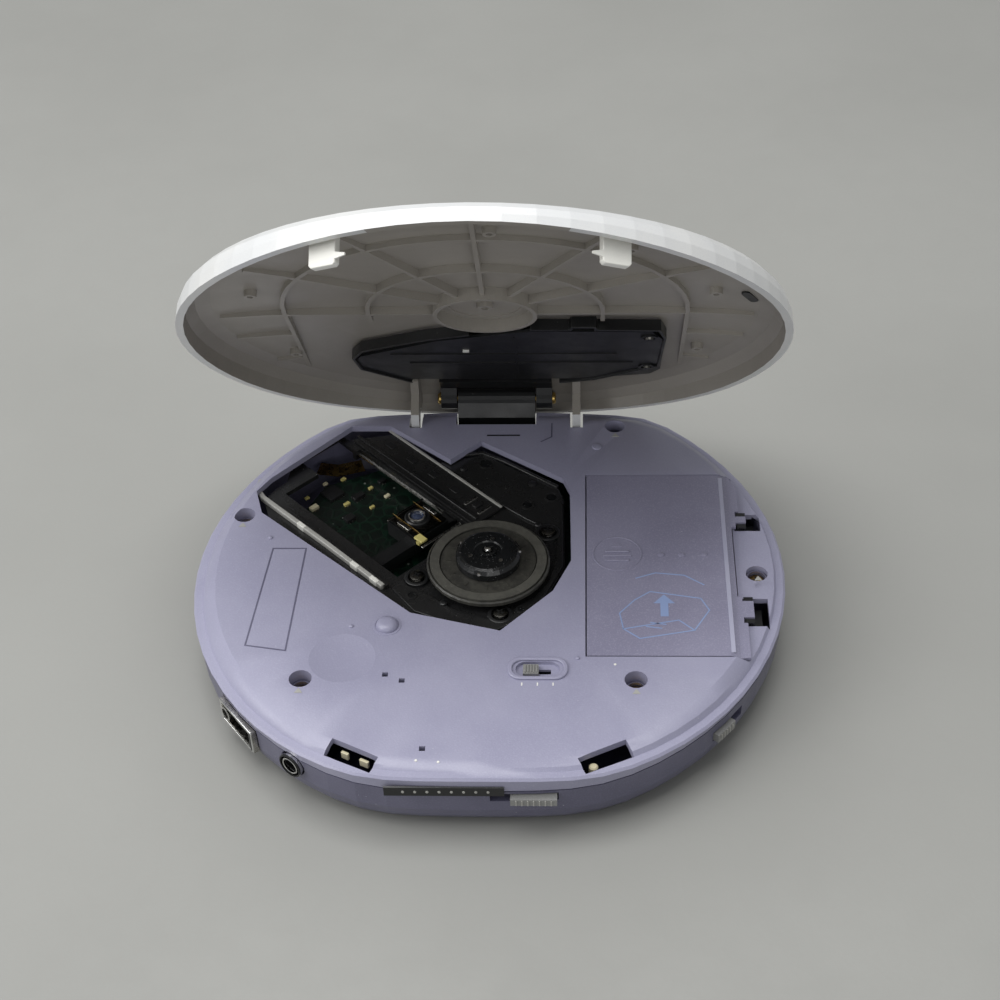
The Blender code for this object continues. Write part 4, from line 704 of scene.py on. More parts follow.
for side in (-1, 1):
    sledPlate(f"suspension tab {side}", 23.2, 27.4, side * 4.1 - 0.5, side * 4.1 + 0.5, 14.9, 15.3, steelFinish,
              "pickup")
    for wire in (0, 1):
        along = 20.2 + wire * 0.6
        start = onSled(along * mm, side * 3.2 * mm)
        end = onSled((along + 9.6) * mm, side * 3.2 * mm)
        addPiece(f"suspension wire {side} {wire}", tubeShape([(*start, (15.05 + 0.16 * wire) * mm),
                                                            (*end, (15.05 + 0.16 * wire) * mm)], 0.06 * mm, 8),
                 brassFinish, "pickup")
sledPlate("plated front edge", 16.2, 16.9, -6.2, 6.0, 14.9, 15.2, steelFinish, "pickup", 0.1)
sledPlate("plated fold", 29.2, 29.8, -5.8, 5.6, 14.9, 15.2, darkMetalFinish, "pickup", 0.1)
sledPlate("yellow cap", 17.6, 20.4, -5.4, -3.4, 14.9, 15.5, yellowFinish, "pickup", 0.15)

# Parts on the board that show through the window
boardParts = [
    (-34.0, 33.4, 3.2, 1.6, 0.9, "chip"), (-28.6, 39.4, 2.0, 1.2, 0.7, "chip"), (-36.6, 30.7, 1.6, 0.9, 0.6, "amber"),
    (-31.2, 36.8, 1.2, 0.8, 0.5, "amber"), (-40.6, 34.6, 4.4, 4.4, 0.8, "chip"), (-44.6, 29.2, 2.2, 1.4, 0.8, "white"),
    (-38.4, 40.2, 1.4, 0.9, 0.5, "amber"), (-35.4, 25.2, 2.6, 2.0, 0.9, "chip"), (-42.8, 38.4, 1.3, 0.8, 0.5, "white"),
    (-30.2, 29.6, 1.3, 0.8, 0.5, "amber"), (-26.8, 33.8, 1.5, 1.0, 0.5, "white"), (-46.8, 33.0, 1.2, 0.8, 0.5, "amber"),
]
partFinishes = {"chip": blackFinish, "amber": yellowFinish, "white": creamFinish}
for index, (x, y, width, depth, tall, kind) in enumerate(boardParts):
    part = plateShape(roundedOutline(width * mm, depth * mm, 0.1 * mm), 8.0 * mm, (8.0 + tall) * mm)
    spot = at(x * mm, y * mm) @ Matrix.Rotation(math.radians(45), 4, "Z")
    addPiece(f"board part {index}", part, partFinishes[kind], "root", place=spot, edge=0.06 * mm)
    legs = []
    for side in (-1, 1):
        for leg in range(max(1, int(width / 0.8))):
            offset = (leg - (max(1, int(width / 0.8)) - 1) / 2) * 0.8
            foot = plateShape(roundedOutline(0.36 * mm, 0.5 * mm, 0.08 * mm,
                                             (offset * mm, side * (depth / 2 + 0.2) * mm)), 8.0 * mm, 8.2 * mm)
            legs.append(foot)
    addPiece(f"board legs {index}", mergedShape(legs), steelFinish, "root", place=spot)
ribbon = {"low": 8.3, "high": 8.5, "path": [(-45.0, 44.2), (-40.0, 43.4), (-33.8, 45.4)], "width": 4.4}
addPiece("flexible strip", stripShape(millimetres(ribbon["path"]), ribbon["width"] * mm, ribbon["low"] * mm,
                                      ribbon["high"] * mm), brassFinish, "root")

# Turntable hub: small holes, bright catches and the centre pin's cap
for index, (x, y, radius) in enumerate([(0.9, 4.0, 0.55), (-3.9, -1.7, 0.5), (3.1, -3.3, 0.5)]):
    well = turnedShape([(0, 20.8 * mm), (radius * mm, 20.8 * mm), (radius * mm, 20.98 * mm), (0, 20.98 * mm)], 20)
    addPiece(f"hub hole {index}", well, steelFinish, "turntable", place=at(x * mm, y * mm))
hubRim = turnedShape([(1.15 * mm, 20.85 * mm), (2.1 * mm, 20.85 * mm), (2.0 * mm, 21.15 * mm), (1.3 * mm, 21.2 * mm)], 36)
addPiece("hub collar", hubRim, hubFinish, "turntable")
pinCap = turnedShape([(0, 21.3 * mm), (0.8 * mm, 21.3 * mm), (0.78 * mm, 21.62 * mm), (0.5 * mm, 21.8 * mm),
                      (0, 21.86 * mm)], 32)
addPiece("centre pin cap", pinCap, chromeFinish, "turntable")
for index, degrees in enumerate((-104, 6, 149)):
    ball = turnedShape([(0, -0.5 * mm), (0.36 * mm, -0.36 * mm), (0.5 * mm, 0), (0.36 * mm, 0.36 * mm),
                        (0, 0.5 * mm)], 20)
    angle = math.radians(degrees)
    addPiece(f"catch ball {index}", ball, steelFinish, "turntable",
             place=at(7.3 * mm * math.cos(angle), 7.3 * mm * math.sin(angle), 19.9 * mm))
for index in range(12):
    angle = fullTurn * index / 12
    rib = plateShape(roundedOutline(1.4 * mm, 0.28 * mm, 0.1 * mm), 17.78 * mm, 17.95 * mm)
    addPiece(f"table rib {index}", rib, tableFinish, "turntable",
             place=Matrix.Rotation(angle, 4, "Z") @ at(9.3 * mm, 0))
print("mechanism detailed")


# Deck: marks beside the screw holes, bosses, switch frame, front strip and seams

deckTop = deckZ
screwHoles = [(-59.2, 16.8), (-39.8, -37.1), (33.5, -37.1), (62.0, -1.6), (30.0, 50.4)]
arrowMark = {"length": 1.5, "half": 0.9, "tall": 0.09, "away": 4.3}
for index, (x, y) in enumerate(screwHoles):
    tip = [(-arrowMark["half"] * mm, 0), (arrowMark["half"] * mm, 0), (0, arrowMark["length"] * mm)]
    addPiece(f"screw arrow {index}", plateShape(tip, deckTop, deckTop + arrowMark["tall"] * mm), railFinish, "root",
             place=at(x * mm, (y - arrowMark["away"]) * mm))
    # Each screw hole gets a lining of the darker lavender: painted shade down in the hole.
    lining = turnedShape([(1.95 * mm, 13.4 * mm), (2.25 * mm, 13.4 * mm), (2.25 * mm, 14.0 * mm),
                          (1.95 * mm, 14.0 * mm)], 32)
    addPiece(f"screw lining {index}", lining, shadeAndLineFinish, "root", place=at(x * mm, y * mm))
    crossScrew(f"deep screw {index}", x, y, 12.75, {"head": 1.75, "finish": brassFinish, "cutFinish": blackFinish,
                                                    "turn": 12 + 31 * index})

domeBoss = turnedShape([(0, 16.95 * mm), (2.5 * mm, 16.95 * mm), (2.45 * mm, 17.5 * mm), (2.1 * mm, 18.0 * mm),
                        (1.5 * mm, 18.3 * mm), (0.8 * mm, 18.42 * mm), (0, 18.45 * mm)], 48)
addPiece("deck boss", domeBoss, deckFinish, "root", place=at(-22.0 * mm, -20.7 * mm))
bossRing = turnedShape([(2.7 * mm, 16.95 * mm), (3.2 * mm, 16.95 * mm), (3.15 * mm, 17.12 * mm),
                        (2.75 * mm, 17.12 * mm)], 48)
addPiece("deck boss ring", bossRing, deckFinish, "root", place=at(-22.0 * mm, -20.7 * mm))
for index, (x, y, radius) in enumerate([(-30.1, -21.0, 0.55), (25.4, 42.3, 1.3), (-52.0, 8.6, 0.6), (20.8, -30.8, 0.5)]):
    stud = turnedShape([(0, 16.95 * mm), (radius * mm, 16.95 * mm), (radius * 0.9 * mm, 17.25 * mm),
                        (radius * 0.5 * mm, 17.4 * mm), (0, 17.45 * mm)], 28)
    addPiece(f"deck stud {index}", stud, deckFinish, "root", place=at(x * mm, y * mm))
for index, (x, y) in enumerate([(-12.9, -60.5), (29.0, -32.6), (-8.2, -60.9)]):
    dot = turnedShape([(0, 16.9 * mm), (0.32 * mm, 16.9 * mm), (0.28 * mm, 17.08 * mm), (0, 17.12 * mm)], 18)
    addPiece(f"white dot {index}", dot, whiteFinish, "root", place=at(x * mm, y * mm))

# A shallow round dimple is pressed into the deck
dimple = {"centre": (-31.2, -30.8), "radius": 7.4, "depth": 0.7}
ballRadius = (dimple["radius"] ** 2 + dimple["depth"] ** 2) / (2 * dimple["depth"]) * mm
profile = [(0, -dimple["depth"] * mm)]
for step in range(1, 9):
    reach = dimple["radius"] * 1.12 * mm * step / 8
    profile.append((reach, ballRadius - dimple["depth"] * mm - math.sqrt(ballRadius ** 2 - reach ** 2)))
profile += [(profile[-1][0], 2 * mm), (0, 2 * mm)]
dimpleShape = turnedShape(profile, 72)
bmesh.ops.recalc_face_normals(dimpleShape, faces=dimpleShape.faces)
dimpleMesh = bpy.data.meshes.new("dimple")
dimpleShape.to_mesh(dimpleMesh)
dimpleShape.free()
dimpleTool = bpy.data.objects.new("dimple", dimpleMesh)
dimpleTool.location = (dimple["centre"][0] * mm, dimple["centre"][1] * mm, deckTop)
dimpleTool.hide_render = True
dimpleTool.hide_viewport = True
scene.collection.objects.link(dimpleTool)
press = nodes["upper_case"].modifiers.new("dimple", "BOOLEAN")
press.operation = "DIFFERENCE"
press.solver = "EXACT"
press.object = dimpleTool
creases = nodes["upper_case"].modifiers.new("creases", "EDGE_SPLIT")
creases.split_angle = math.radians(30)

# A bare framed panel at the left, with nothing written in it
barePanel = {"width": 0.35, "tall": 0.07, "corners": [(-50.9, 4.9), (-43.1, 4.9), (-44.1, -28.6), (-53.3, -27.0)]}
addPiece("bare panel line", stripShape(millimetres(barePanel["corners"]), barePanel["width"] * mm, deckTop - 0.02 * mm,
                                       deckTop + barePanel["tall"] * mm, True), shadeAndLineFinish, "root")

switchFrame = {"centre": (12.1, -34.1), "outer": (13.2, 6.6), "inner": (11.2, 4.9), "tall": 0.55}
outer = roundedOutline(switchFrame["outer"][0] * mm, switchFrame["outer"][1] * mm, 2.9 * mm, steps=9)
inner = roundedOutline(switchFrame["inner"][0] * mm, switchFrame["inner"][1] * mm, 2.2 * mm, steps=9)
addPiece("switch rim", plateShape(outer, deckTop - 0.05 * mm, deckTop + switchFrame["tall"] * mm, [inner]), deckFinish,
         "root", place=at(switchFrame["centre"][0] * mm, switchFrame["centre"][1] * mm), edge=0.22 * mm)
for index in range(5):
    rib = plateShape(roundedOutline(0.3 * mm, 2.3 * mm, 0.1 * mm), 17.05 * mm, 17.4 * mm)
    addPiece(f"switch rib {index}", rib, greyFinish, "mode_switch",
             place=at((10.57 + (index - 2) * 0.62) * mm, -34.09 * mm))
for index, offset in enumerate((-3.4, 0.0, 3.4)):
    tick = plateShape(roundedOutline(0.28 * mm, 0.9 * mm, 0.08 * mm), deckTop - 0.02 * mm, deckTop + 0.06 * mm)
    addPiece(f"switch tick {index}", tick, whiteFinish, "root", place=at((12.1 + offset) * mm, -38.6 * mm))

# The slit is a black strip on the deck: painted shade standing in for the opening.
slitPath = [(-2.1, 46.8), (6.2, 46.8)]
addPiece("rear slit", stripShape(millimetres(slitPath), 0.5 * mm, deckTop - 0.02 * mm, deckTop + 0.05 * mm), blackFinish,
         "root")
seamPath = [(14.1, 51.6), (14.1, 46.2), (11.4, 44.2)]
addPiece("rear seam", stripShape(millimetres(seamPath), 0.32 * mm, deckTop - 0.02 * mm, deckTop + 0.05 * mm), shadeAndLineFinish,
         "root")

# Small cream blocks inside the left slot for the lid's hook
for index, (offset, width) in enumerate([(-2.6, 1.8), (2.2, 2.2)]):
    block = plateShape(roundedOutline(width * mm, 0.7 * mm, 0.2 * mm), 12.6 * mm, 14.4 * mm)
    place = at(-26.75 * mm, -58.65 * mm) @ Matrix.Rotation(math.radians(-27), 4, "Z") @ at(offset * mm, 1.5 * mm)
    addPiece(f"slot block {index}", block, creamFinish, "root", place=place, edge=0.1 * mm)

# Front strip just under the rim: a black sheet as painted shade of the recessed channel, a row of fine dots and the
# opener's bar
frontWall = -65.15 * mm


def onFront(x, height, proud=0.0):
    return Vector((x, frontWall - proud, height))


channelShadeStrip = {"low": 11.35, "high": 14.1, "start": -19.6, "end": 5.6, "steps": 34}
shape = bmesh.new()
rows = []
for step in range(channelShadeStrip["steps"] + 1):
    x = (channelShadeStrip["start"] + (channelShadeStrip["end"] - channelShadeStrip["start"]) * step / channelShadeStrip["steps"]) * mm
    rows.append([shape.verts.new(onFront(x, height * mm, proud * mm)) for height, proud in
                 ((channelShadeStrip["low"], -0.1), (channelShadeStrip["low"] + 0.1, 0.22), (channelShadeStrip["high"] - 0.1, 0.22),
                  (channelShadeStrip["high"], -0.1))])
for before, after in zip(rows, rows[1:]):
    for level in range(3):
        shape.faces.new((before[level], after[level], after[level + 1], before[level + 1]))
addPiece("front strip", shape, blackFinish, "root")
for index in range(8):
    x = (-15.6 + index * 2.55) * mm
    dot = turnedShape([(0, -0.1 * mm), (0.34 * mm, -0.1 * mm), (0.3 * mm, 0.1 * mm), (0, 0.13 * mm)], 16)
    spot = onFront(x, 12.7 * mm, 0.25 * mm)
    addPiece(f"strip dot {index}", dot, railFinish, "root",
             place=Matrix.Translation(spot) @ Matrix.Rotation(math.radians(90), 4, "X"))
knobLow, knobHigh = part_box("open_knob")
knobWide = knobHigh.x - knobLow.x
for index in range(7):
    rib = plateShape(roundedOutline(0.32 * mm, (knobHigh.z - knobLow.z) * 0.8, 0.1 * mm), 0, 0.28 * mm)
    x = knobLow.x + knobWide * (index + 1) / 8
    addPiece(f"opener rib {index}", rib, railFinish, "open_slide",
             place=at(x, knobLow.y + 0.06 * mm, (knobLow.z + knobHigh.z) / 2) @ Matrix.Rotation(math.radians(90), 4, "X"))

# Left wall: socket frame and its far round hole, jack rings. Right wall: ribs on the hold slide.
def onDrum(azimuth, height, radius):
    def bend(point):
        angle = math.radians(azimuth)
        outward = Vector((math.sin(angle), -math.cos(angle), 0))
        along = Vector((math.cos(angle), math.sin(angle), 0))
        return outward * (radius + point.z) + along * point.x + Vector((0, 0, height + point.y))
    return bend


socketLow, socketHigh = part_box("side_socket")
socketLook = {
    "azimuth": -51.5, "height": (socketLow.z + socketHigh.z) / 2, "tall": (socketHigh.z - socketLow.z) / mm,
    "long": 13.6, "radius": 68.85,
}
drum = onDrum(socketLook["azimuth"], socketLook["height"], socketLook["radius"] * mm)
outer = roundedOutline(socketLook["long"] * mm, socketLook["tall"] * mm, 0.7 * mm)
inner = roundedOutline((socketLook["long"] - 1.5) * mm, (socketLook["tall"] - 1.5) * mm, 0.5 * mm)
addPiece("socket frame", plateShape(outer, 0, 0.35 * mm, [inner]), chromeFinish, "root", bend=drum, edge=0.1 * mm)
tongue = plateShape(roundedOutline((socketLook["long"] - 6.4) * mm, 0.8 * mm, 0.2 * mm, (1.6 * mm, 0)), -4.6 * mm,
                    -0.6 * mm)
addPiece("socket tongue", tongue, blackFinish, "root", bend=drum)
ring = turnedShape([(1.25 * mm, -1.2 * mm), (1.75 * mm, -1.2 * mm), (1.75 * mm, 0.3 * mm), (1.6 * mm, 0.42 * mm),
                    (1.25 * mm, 0.42 * mm)], 32)
addPiece("socket round mouth", ring, steelFinish, "root", place=at(-4.6 * mm, 0), bend=drum)
for index, x in enumerate((0.2, 1.4, 2.6, 3.8, 5.0)):
    pin = plateShape(roundedOutline(0.4 * mm, 0.2 * mm, 0.05 * mm, (x * mm, 0.5 * mm)), -4.4 * mm, -0.9 * mm)
    addPiece(f"socket pin {index}", pin, brassFinish, "root", bend=drum)
divider = plateShape(roundedOutline(0.5 * mm, (socketLook["tall"] - 1.0) * mm, 0.1 * mm, (6.0 * mm, 0)), -1.0 * mm, 0.42 * mm)
addPiece("socket end bar", divider, blackFinish, "root", bend=drum)

jackLow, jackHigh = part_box("jack_ring")
jackBend = onDrum(-36.0, (jackLow.z + jackHigh.z) / 2, 68.9 * mm)
for name, inner, outer, low, high, finish in (("jack bright rim", 1.78, 2.1, -0.6, 0.28, chromeFinish),
                                              ("jack outer rim", 2.6, 2.95, -0.1, 0.35, blackFinish)):
    ring = turnedShape([(inner * mm, low * mm), (outer * mm, low * mm), (outer * mm, high * mm),
                        ((inner + outer) / 2 * mm, (high + 0.1) * mm), (inner * mm, high * mm)], 40)
    addPiece(name, ring, finish, "root", bend=jackBend)

holdLow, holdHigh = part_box("hold_switch")
holdMiddle = (holdLow + holdHigh) / 2
holdFace = onDrum(math.degrees(math.atan2(holdMiddle.x, -holdMiddle.y)), holdMiddle.z, 69.3 * mm)
for index in range(5):
    rib = plateShape(roundedOutline(0.3 * mm, 1.7 * mm, 0.1 * mm, ((index - 2) * 0.95 * mm, 0)), -0.2 * mm, 0.22 * mm)
    addPiece(f"hold rib {index}", rib, railFinish, "hold_switch", bend=holdFace)
print("deck and walls detailed")


# Battery door: grip circle, bumps, a painted highlight along the bend and a plain line drawing of how it opens

# A lighter lavender for the door's bend: a painted highlight where the bend catches the overhead light.
bendHighlightFinish = mouldedFinish("lavender with painted highlight", dict(caseLook, colour=tone(176, 176, 196), second=tone(166, 166, 188)))
inkFinish = mouldedFinish("pale blue ink", {
    "colour": tone(150, 168, 206), "second": tone(140, 158, 198), "gloss": (0.35, 0.45), "grain": 0.005,
})
doorTop = deckZ
ringPath = circleOutline(5.6 * mm, (29.9 * mm, 3.2 * mm), 56)
addPiece("grip circle", stripShape(ringPath, 0.42 * mm, doorTop - 0.03 * mm, doorTop + 0.12 * mm, True), doorFinish,
         "battery_door", edge=0.05 * mm)
for index, (offset, length) in enumerate([(-2.4, 5.6), (-0.9, 6.6), (0.6, 5.6)]):
    bar = plateShape(roundedOutline(length * mm, 0.62 * mm, 0.28 * mm), doorTop - 0.03 * mm, doorTop + 0.34 * mm)
    addPiece(f"grip bar {index}", bar, doorFinish, "battery_door", place=at(29.9 * mm, (3.2 + offset) * mm),
             edge=0.12 * mm)
pointer = plateShape([(-1.3 * mm, 0), (1.3 * mm, 0), (0, 1.6 * mm)], doorTop - 0.03 * mm, doorTop + 0.2 * mm)
addPiece("grip pointer", pointer, doorFinish, "battery_door",
         place=at(29.9 * mm, 5.4 * mm), edge=0.06 * mm)
for index, x in enumerate((40.1, 44.9, 50.0)):
    bump = turnedShape([(0, 16.95 * mm), (0.85 * mm, 16.95 * mm), (0.78 * mm, 17.16 * mm), (0.4 * mm, 17.3 * mm),
                        (0, 17.34 * mm)], 26)
    addPiece(f"door bump {index}", bump, doorFinish, "battery_door", place=at(x * mm, 2.8 * mm))
drawing = [
    ([(31.0, -21.6), (34.6, -24.6), (46.8, -22.0), (43.4, -18.8)], True),
    ([(33.6, -12.4), (37.2, -9.6), (48.6, -11.8)], False),
    ([(48.6, -11.8), (50.4, -15.6), (46.8, -22.0)], False),
    ([(31.0, -21.6), (30.2, -16.6), (33.6, -12.4)], False),
    ([(36.0, -20.8), (39.6, -21.4)], False), ([(37.0, -19.6), (40.6, -20.2)], False),
    ([(34.0, -5.2), (38.6, -3.4), (45.2, -4.2), (49.6, -7.4)], False),
]
for index, (path, closed) in enumerate(drawing):
    addPiece(f"door drawing {index}", stripShape(millimetres(path), 0.3 * mm, doorTop - 0.02 * mm,
                                                 doorTop + 0.05 * mm, closed), inkFinish, "battery_door")
arrow = [(39.4, -17.6), (39.4, -13.4), (37.9, -13.4), (40.3, -10.6), (42.7, -13.4), (41.2, -13.4), (41.2, -17.6)]
addPiece("door arrow", plateShape(millimetres(arrow), doorTop - 0.02 * mm, doorTop + 0.06 * mm), inkFinish,
         "battery_door")
# The strip along the bend is a painted highlight.
bend = [(55.1, -28.8), (55.1, 30.2)]
addPiece("door bend painted highlight", stripShape(millimetres(bend), 1.0 * mm, doorTop - 0.12 * mm, doorTop + 0.06 * mm),
         bendHighlightFinish, "battery_door", edge=0.08 * mm)

# Lid, drawn closed and turned with it: cover border, cover screw cuts and seats, hub boss, posts, hooks

coverBorders = [
    [(-4.3, 11.6), (-15.1, 15.3), (-30.5, 23.9), (-33.2, 29.6), (-32.2, 38.2), (-20.5, 50.0)],
    [(9.9, 7.9), (19.1, 8.1), (19.6, 6.2), (24.7, 6.3), (25.0, 8.2), (39.6, 8.9), (41.0, 14.8), (40.2, 36.5),
     (24.6, 47.8), (16.1, 50.4)],
]
for index, path in enumerate(coverBorders):
    addPiece(f"cover border {index}", stripShape(millimetres(path), 0.7 * mm, 19.6 * mm, 22.4 * mm), blackFinish, "lid",
             place=lidPlace, edge=0.12 * mm)
addPiece("cover mark", plateShape(roundedOutline(1.5 * mm, 1.2 * mm, 0.1 * mm), 19.75 * mm, 20.2 * mm), whiteFinish,
         "lid", place=lidPlace @ at(-5.8 * mm, 24.4 * mm))
for index, path in enumerate([[(-24.0, 27.0), (30.0, 27.0)], [(-20.0, 34.0), (34.0, 34.0)], [(6.0, 14.0), (6.0, 44.0)]]):
    addPiece(f"cover rib {index}", stripShape(millimetres(path), 0.45 * mm, 19.85 * mm, 20.2 * mm), blackFinish, "lid",
             place=lidPlace)
for name in ("lid_cover_screw_1", "lid_cover_screw_2"):
    points = [lidBack @ vert.co for vert in nodes[name].data.vertices]
    middle = sum(points, Vector()) / len(points)
    low = min(point.z for point in points)
    # The cross cuts are black bars: painted shade in the cut.
    for turn in (25, 115):
        bar = plateShape(roundedOutline(1.7 * mm, 0.32 * mm, 0.1 * mm), low - 0.03 * mm, low + 0.2 * mm)
        addPiece(f"{name} cut {turn}", bar, blackFinish, "lid", place=lidPlace @ at(middle.x, middle.y)
                 @ Matrix.Rotation(math.radians(turn), 4, "Z"))
    ring = turnedShape([(1.35 * mm, 19.7 * mm), (2.0 * mm, 19.7 * mm), (2.0 * mm, 20.3 * mm), (1.35 * mm, 20.3 * mm)], 32)
    addPiece(f"{name} seat", ring, blackFinish, "lid", place=lidPlace @ at(middle.x, middle.y))
hubBoss = turnedShape([(0.9 * mm, 22.3 * mm), (1.8 * mm, 22.3 * mm), (1.9 * mm, 23.7 * mm), (0.9 * mm, 23.7 * mm)], 36)
addPiece("lid hub boss", hubBoss, lidInsideFinish, "lid", place=lidPlace)
hubLine = turnedShape([(8.3 * mm, 23.1 * mm), (8.8 * mm, 23.1 * mm), (8.8 * mm, 23.7 * mm), (8.3 * mm, 23.7 * mm)], 56)
addPiece("lid hub line", hubLine, lidInsideFinish, "lid", place=lidPlace)


def skinHeight(x, y):
    return closedTree.ray_cast(Vector((x * mm, y * mm, 15 * mm)), Vector((0, 0, 1)))[0].z


for index, (x, y) in enumerate([(-51.0, -13.0), (51.0, -13.0), (-47.0, 29.0), (49.0, 26.0), (3.4, -50.0), (-32.0, -40.0),
                                (32.0, -40.0)]):
    skin = skinHeight(x, y)
    post = turnedShape([(0.7 * mm, skin - 1.5 * mm), (1.4 * mm, skin - 1.5 * mm), (1.5 * mm, skin + 0.3 * mm),
                        (0.7 * mm, skin + 0.3 * mm)], 28)
    addPiece(f"lid post {index}", post, lidInsideFinish, "lid", place=lidPlace @ at(x * mm, y * mm))
oval = roundedOutline(6.8 * mm, 1.9 * mm, 0.94 * mm, steps=8)
ovalSkin = skinHeight(58.6, -9.6)
addPiece("lid oval", plateShape(oval, ovalSkin - 0.35 * mm, ovalSkin + 0.4 * mm), blackFinish, "lid",
         place=lidPlace @ at(58.6 * mm, -9.6 * mm) @ Matrix.Rotation(math.radians(64), 4, "Z"))

hookLook = {"inner": -1.2, "outer": 5.05, "low": 11.35, "top": 19.9, "half": 0.88, "tip": -3.5}
for side in (-1, 1):
    stand = at(side * 26.75 * mm, -58.65 * mm) @ Matrix.Rotation(math.radians(side * 27), 4, "Z") \
        @ Matrix.Rotation(math.radians(90), 4, "X")
    outline = [(hookLook["inner"], hookLook["low"] + 0.5), (hookLook["inner"] + 0.5, hookLook["low"]),
               (hookLook["outer"] - 0.6, hookLook["low"]), (hookLook["outer"], hookLook["low"] + 0.6),
               (hookLook["outer"], 18.6), (hookLook["outer"] + 0.3, 19.0), (hookLook["outer"] + 0.3, hookLook["top"]),
               (hookLook["inner"] - 1.4, hookLook["top"]), (hookLook["inner"] - 1.4, 18.7), (hookLook["inner"], 17.9)]
    flat = [(side * x * mm, z * mm) for x, z in outline]
    addPiece(f"hook {side}", plateShape(flat, -hookLook["half"] * mm, hookLook["half"] * mm), whiteFinish, "lid",
             place=lidPlace @ stand, edge=0.18 * mm)
    finger = [(hookLook["inner"] + 0.3, 12.5), (hookLook["tip"], 12.9), (hookLook["tip"], 13.4),
              (hookLook["inner"] + 0.3, 14.0)]
    flat = [(side * x * mm, z * mm) for x, z in finger]
    addPiece(f"hook finger {side}", plateShape(flat, 0.5 * mm, 0.9 * mm), whiteFinish, "lid", place=lidPlace @ stand)
    rib = [(side * (hookLook["inner"] + 2.6) * mm, 13.0 * mm), (side * (hookLook["inner"] + 3.4) * mm, 13.0 * mm),
           (side * (hookLook["inner"] + 3.4) * mm, 19.4 * mm), (side * (hookLook["inner"] + 2.6) * mm, 19.4 * mm)]
    addPiece(f"hook rib {side}", plateShape(rib, -1.15 * mm, -0.7 * mm), whiteFinish, "lid", place=lidPlace @ stand)

# Lid top: plain signs on the four keys, a frame round the display
keySigns = {
    "key_back": [[(1.6, -1.1), (1.6, 1.1), (0.0, 0.0)], [(0.0, -1.1), (0.0, 1.1), (-1.6, 0.0)]],
    "key_play": [[(-1.0, -1.3), (1.4, 0.0), (-1.0, 1.3)]],
    "key_stop": [[(-1.0, -1.0), (1.0, -1.0), (1.0, 1.0), (-1.0, 1.0)]],
    "key_next": [[(-1.6, -1.1), (0.0, 0.0), (-1.6, 1.1)], [(0.0, -1.1), (1.6, 0.0), (0.0, 1.1)]],
}
for name, signs in keySigns.items():
    points = [lidBack @ vert.co for vert in nodes[name].data.vertices]
    top = max(point.z for point in points)
    middleX = (min(point.x for point in points) + max(point.x for point in points)) / 2
    middleY = (min(point.y for point in points) + max(point.y for point in points)) / 2
    for index, sign in enumerate(signs):
        addPiece(f"{name} sign {index}", plateShape(millimetres(sign), top - 0.03 * mm, top + 0.05 * mm), blackFinish,
                 name, place=lidPlace @ at(middleX, middleY))
    reach = (max(point.x for point in points) - middleX) + 0.55 * mm
    collar = turnedShape([(reach, 25.05 * mm), (reach + 0.5 * mm, 25.05 * mm), (reach + 0.42 * mm, 25.3 * mm),
                          (reach, 25.32 * mm)], 40)
    addPiece(f"{name} collar", collar, greyFinish, "lid", place=lidPlace @ at(middleX, middleY))
windowPoints = [lidBack @ vert.co for vert in nodes["display_window"].data.vertices]
windowLow = [min(point[axis] for point in windowPoints) for axis in range(3)]
windowHigh = [max(point[axis] for point in windowPoints) for axis in range(3)]
windowWide, windowDeep = windowHigh[0] - windowLow[0], windowHigh[1] - windowLow[1]
frameSpot = lidPlace @ at((windowLow[0] + windowHigh[0]) / 2, (windowLow[1] + windowHigh[1]) / 2)
addPiece("display frame", plateShape(roundedOutline(windowWide + 2.6 * mm, windowDeep + 2.6 * mm, 2.2 * mm, steps=8),
                                     windowHigh[2] - 0.3 * mm, windowHigh[2] + 0.16 * mm,
                                     [roundedOutline(windowWide - 1.2 * mm, windowDeep - 1.2 * mm, 1.2 * mm, steps=8)]),
         chromeFinish, "lid", place=frameSpot, edge=0.1 * mm)
for index in range(5):
    cell = roundedOutline(3.4 * mm, 0.5 * mm, 0.1 * mm, ((index - 2) * 4.6 * mm, 0))
    addPiece(f"display cell {index}", plateShape(cell, windowHigh[2] - 0.02 * mm, windowHigh[2] + 0.02 * mm), greyFinish,
             "lid", place=frameSpot)

# Hinge: an end cap each side
for side in (-1, 1):
    cap = turnedShape([(0, 0), (1.5 * mm, 0), (1.5 * mm, 0.5 * mm), (1.2 * mm, 0.8 * mm), (0, 0.85 * mm)], 28)
    addPiece(f"hinge cap {side}", cap, brassFinish, "lid",
             place=at(side * 14.2 * mm, hinge.y, hinge.z) @ Matrix.Rotation(math.radians(90 * side), 4, "Y"))

# Underside: thin pads, a bare label bed, sunk rings under the case screws and air slots
for index, (x, y) in enumerate([(-37, -34), (37, -34), (-40, 30), (40, 30)]):
    pad = turnedShape([(0, -0.28 * mm), (3.6 * mm, -0.28 * mm), (4.0 * mm, -0.1 * mm), (4.0 * mm, 0.1 * mm),
                       (0, 0.1 * mm)], 40)
    addPiece(f"foot pad {index}", pad, blackFinish, "root", place=at(x * mm, y * mm))
labelBed = roundedOutline(46 * mm, 24 * mm, 2.5 * mm)
addPiece("label bed line", stripShape(labelBed, 0.4 * mm, -0.1 * mm, 0.05 * mm, True), greyFinish, "root",
         place=at(0, -8 * mm))
# Each air slot is a black plate: painted shade in place of an opening.
for index in range(7):
    slot = plateShape(roundedOutline(9 * mm, 1.0 * mm, 0.48 * mm), -0.06 * mm, 0.05 * mm)
    addPiece(f"air slot {index}", slot, blackFinish, "root", place=at(0, (20 + index * 2.2) * mm))
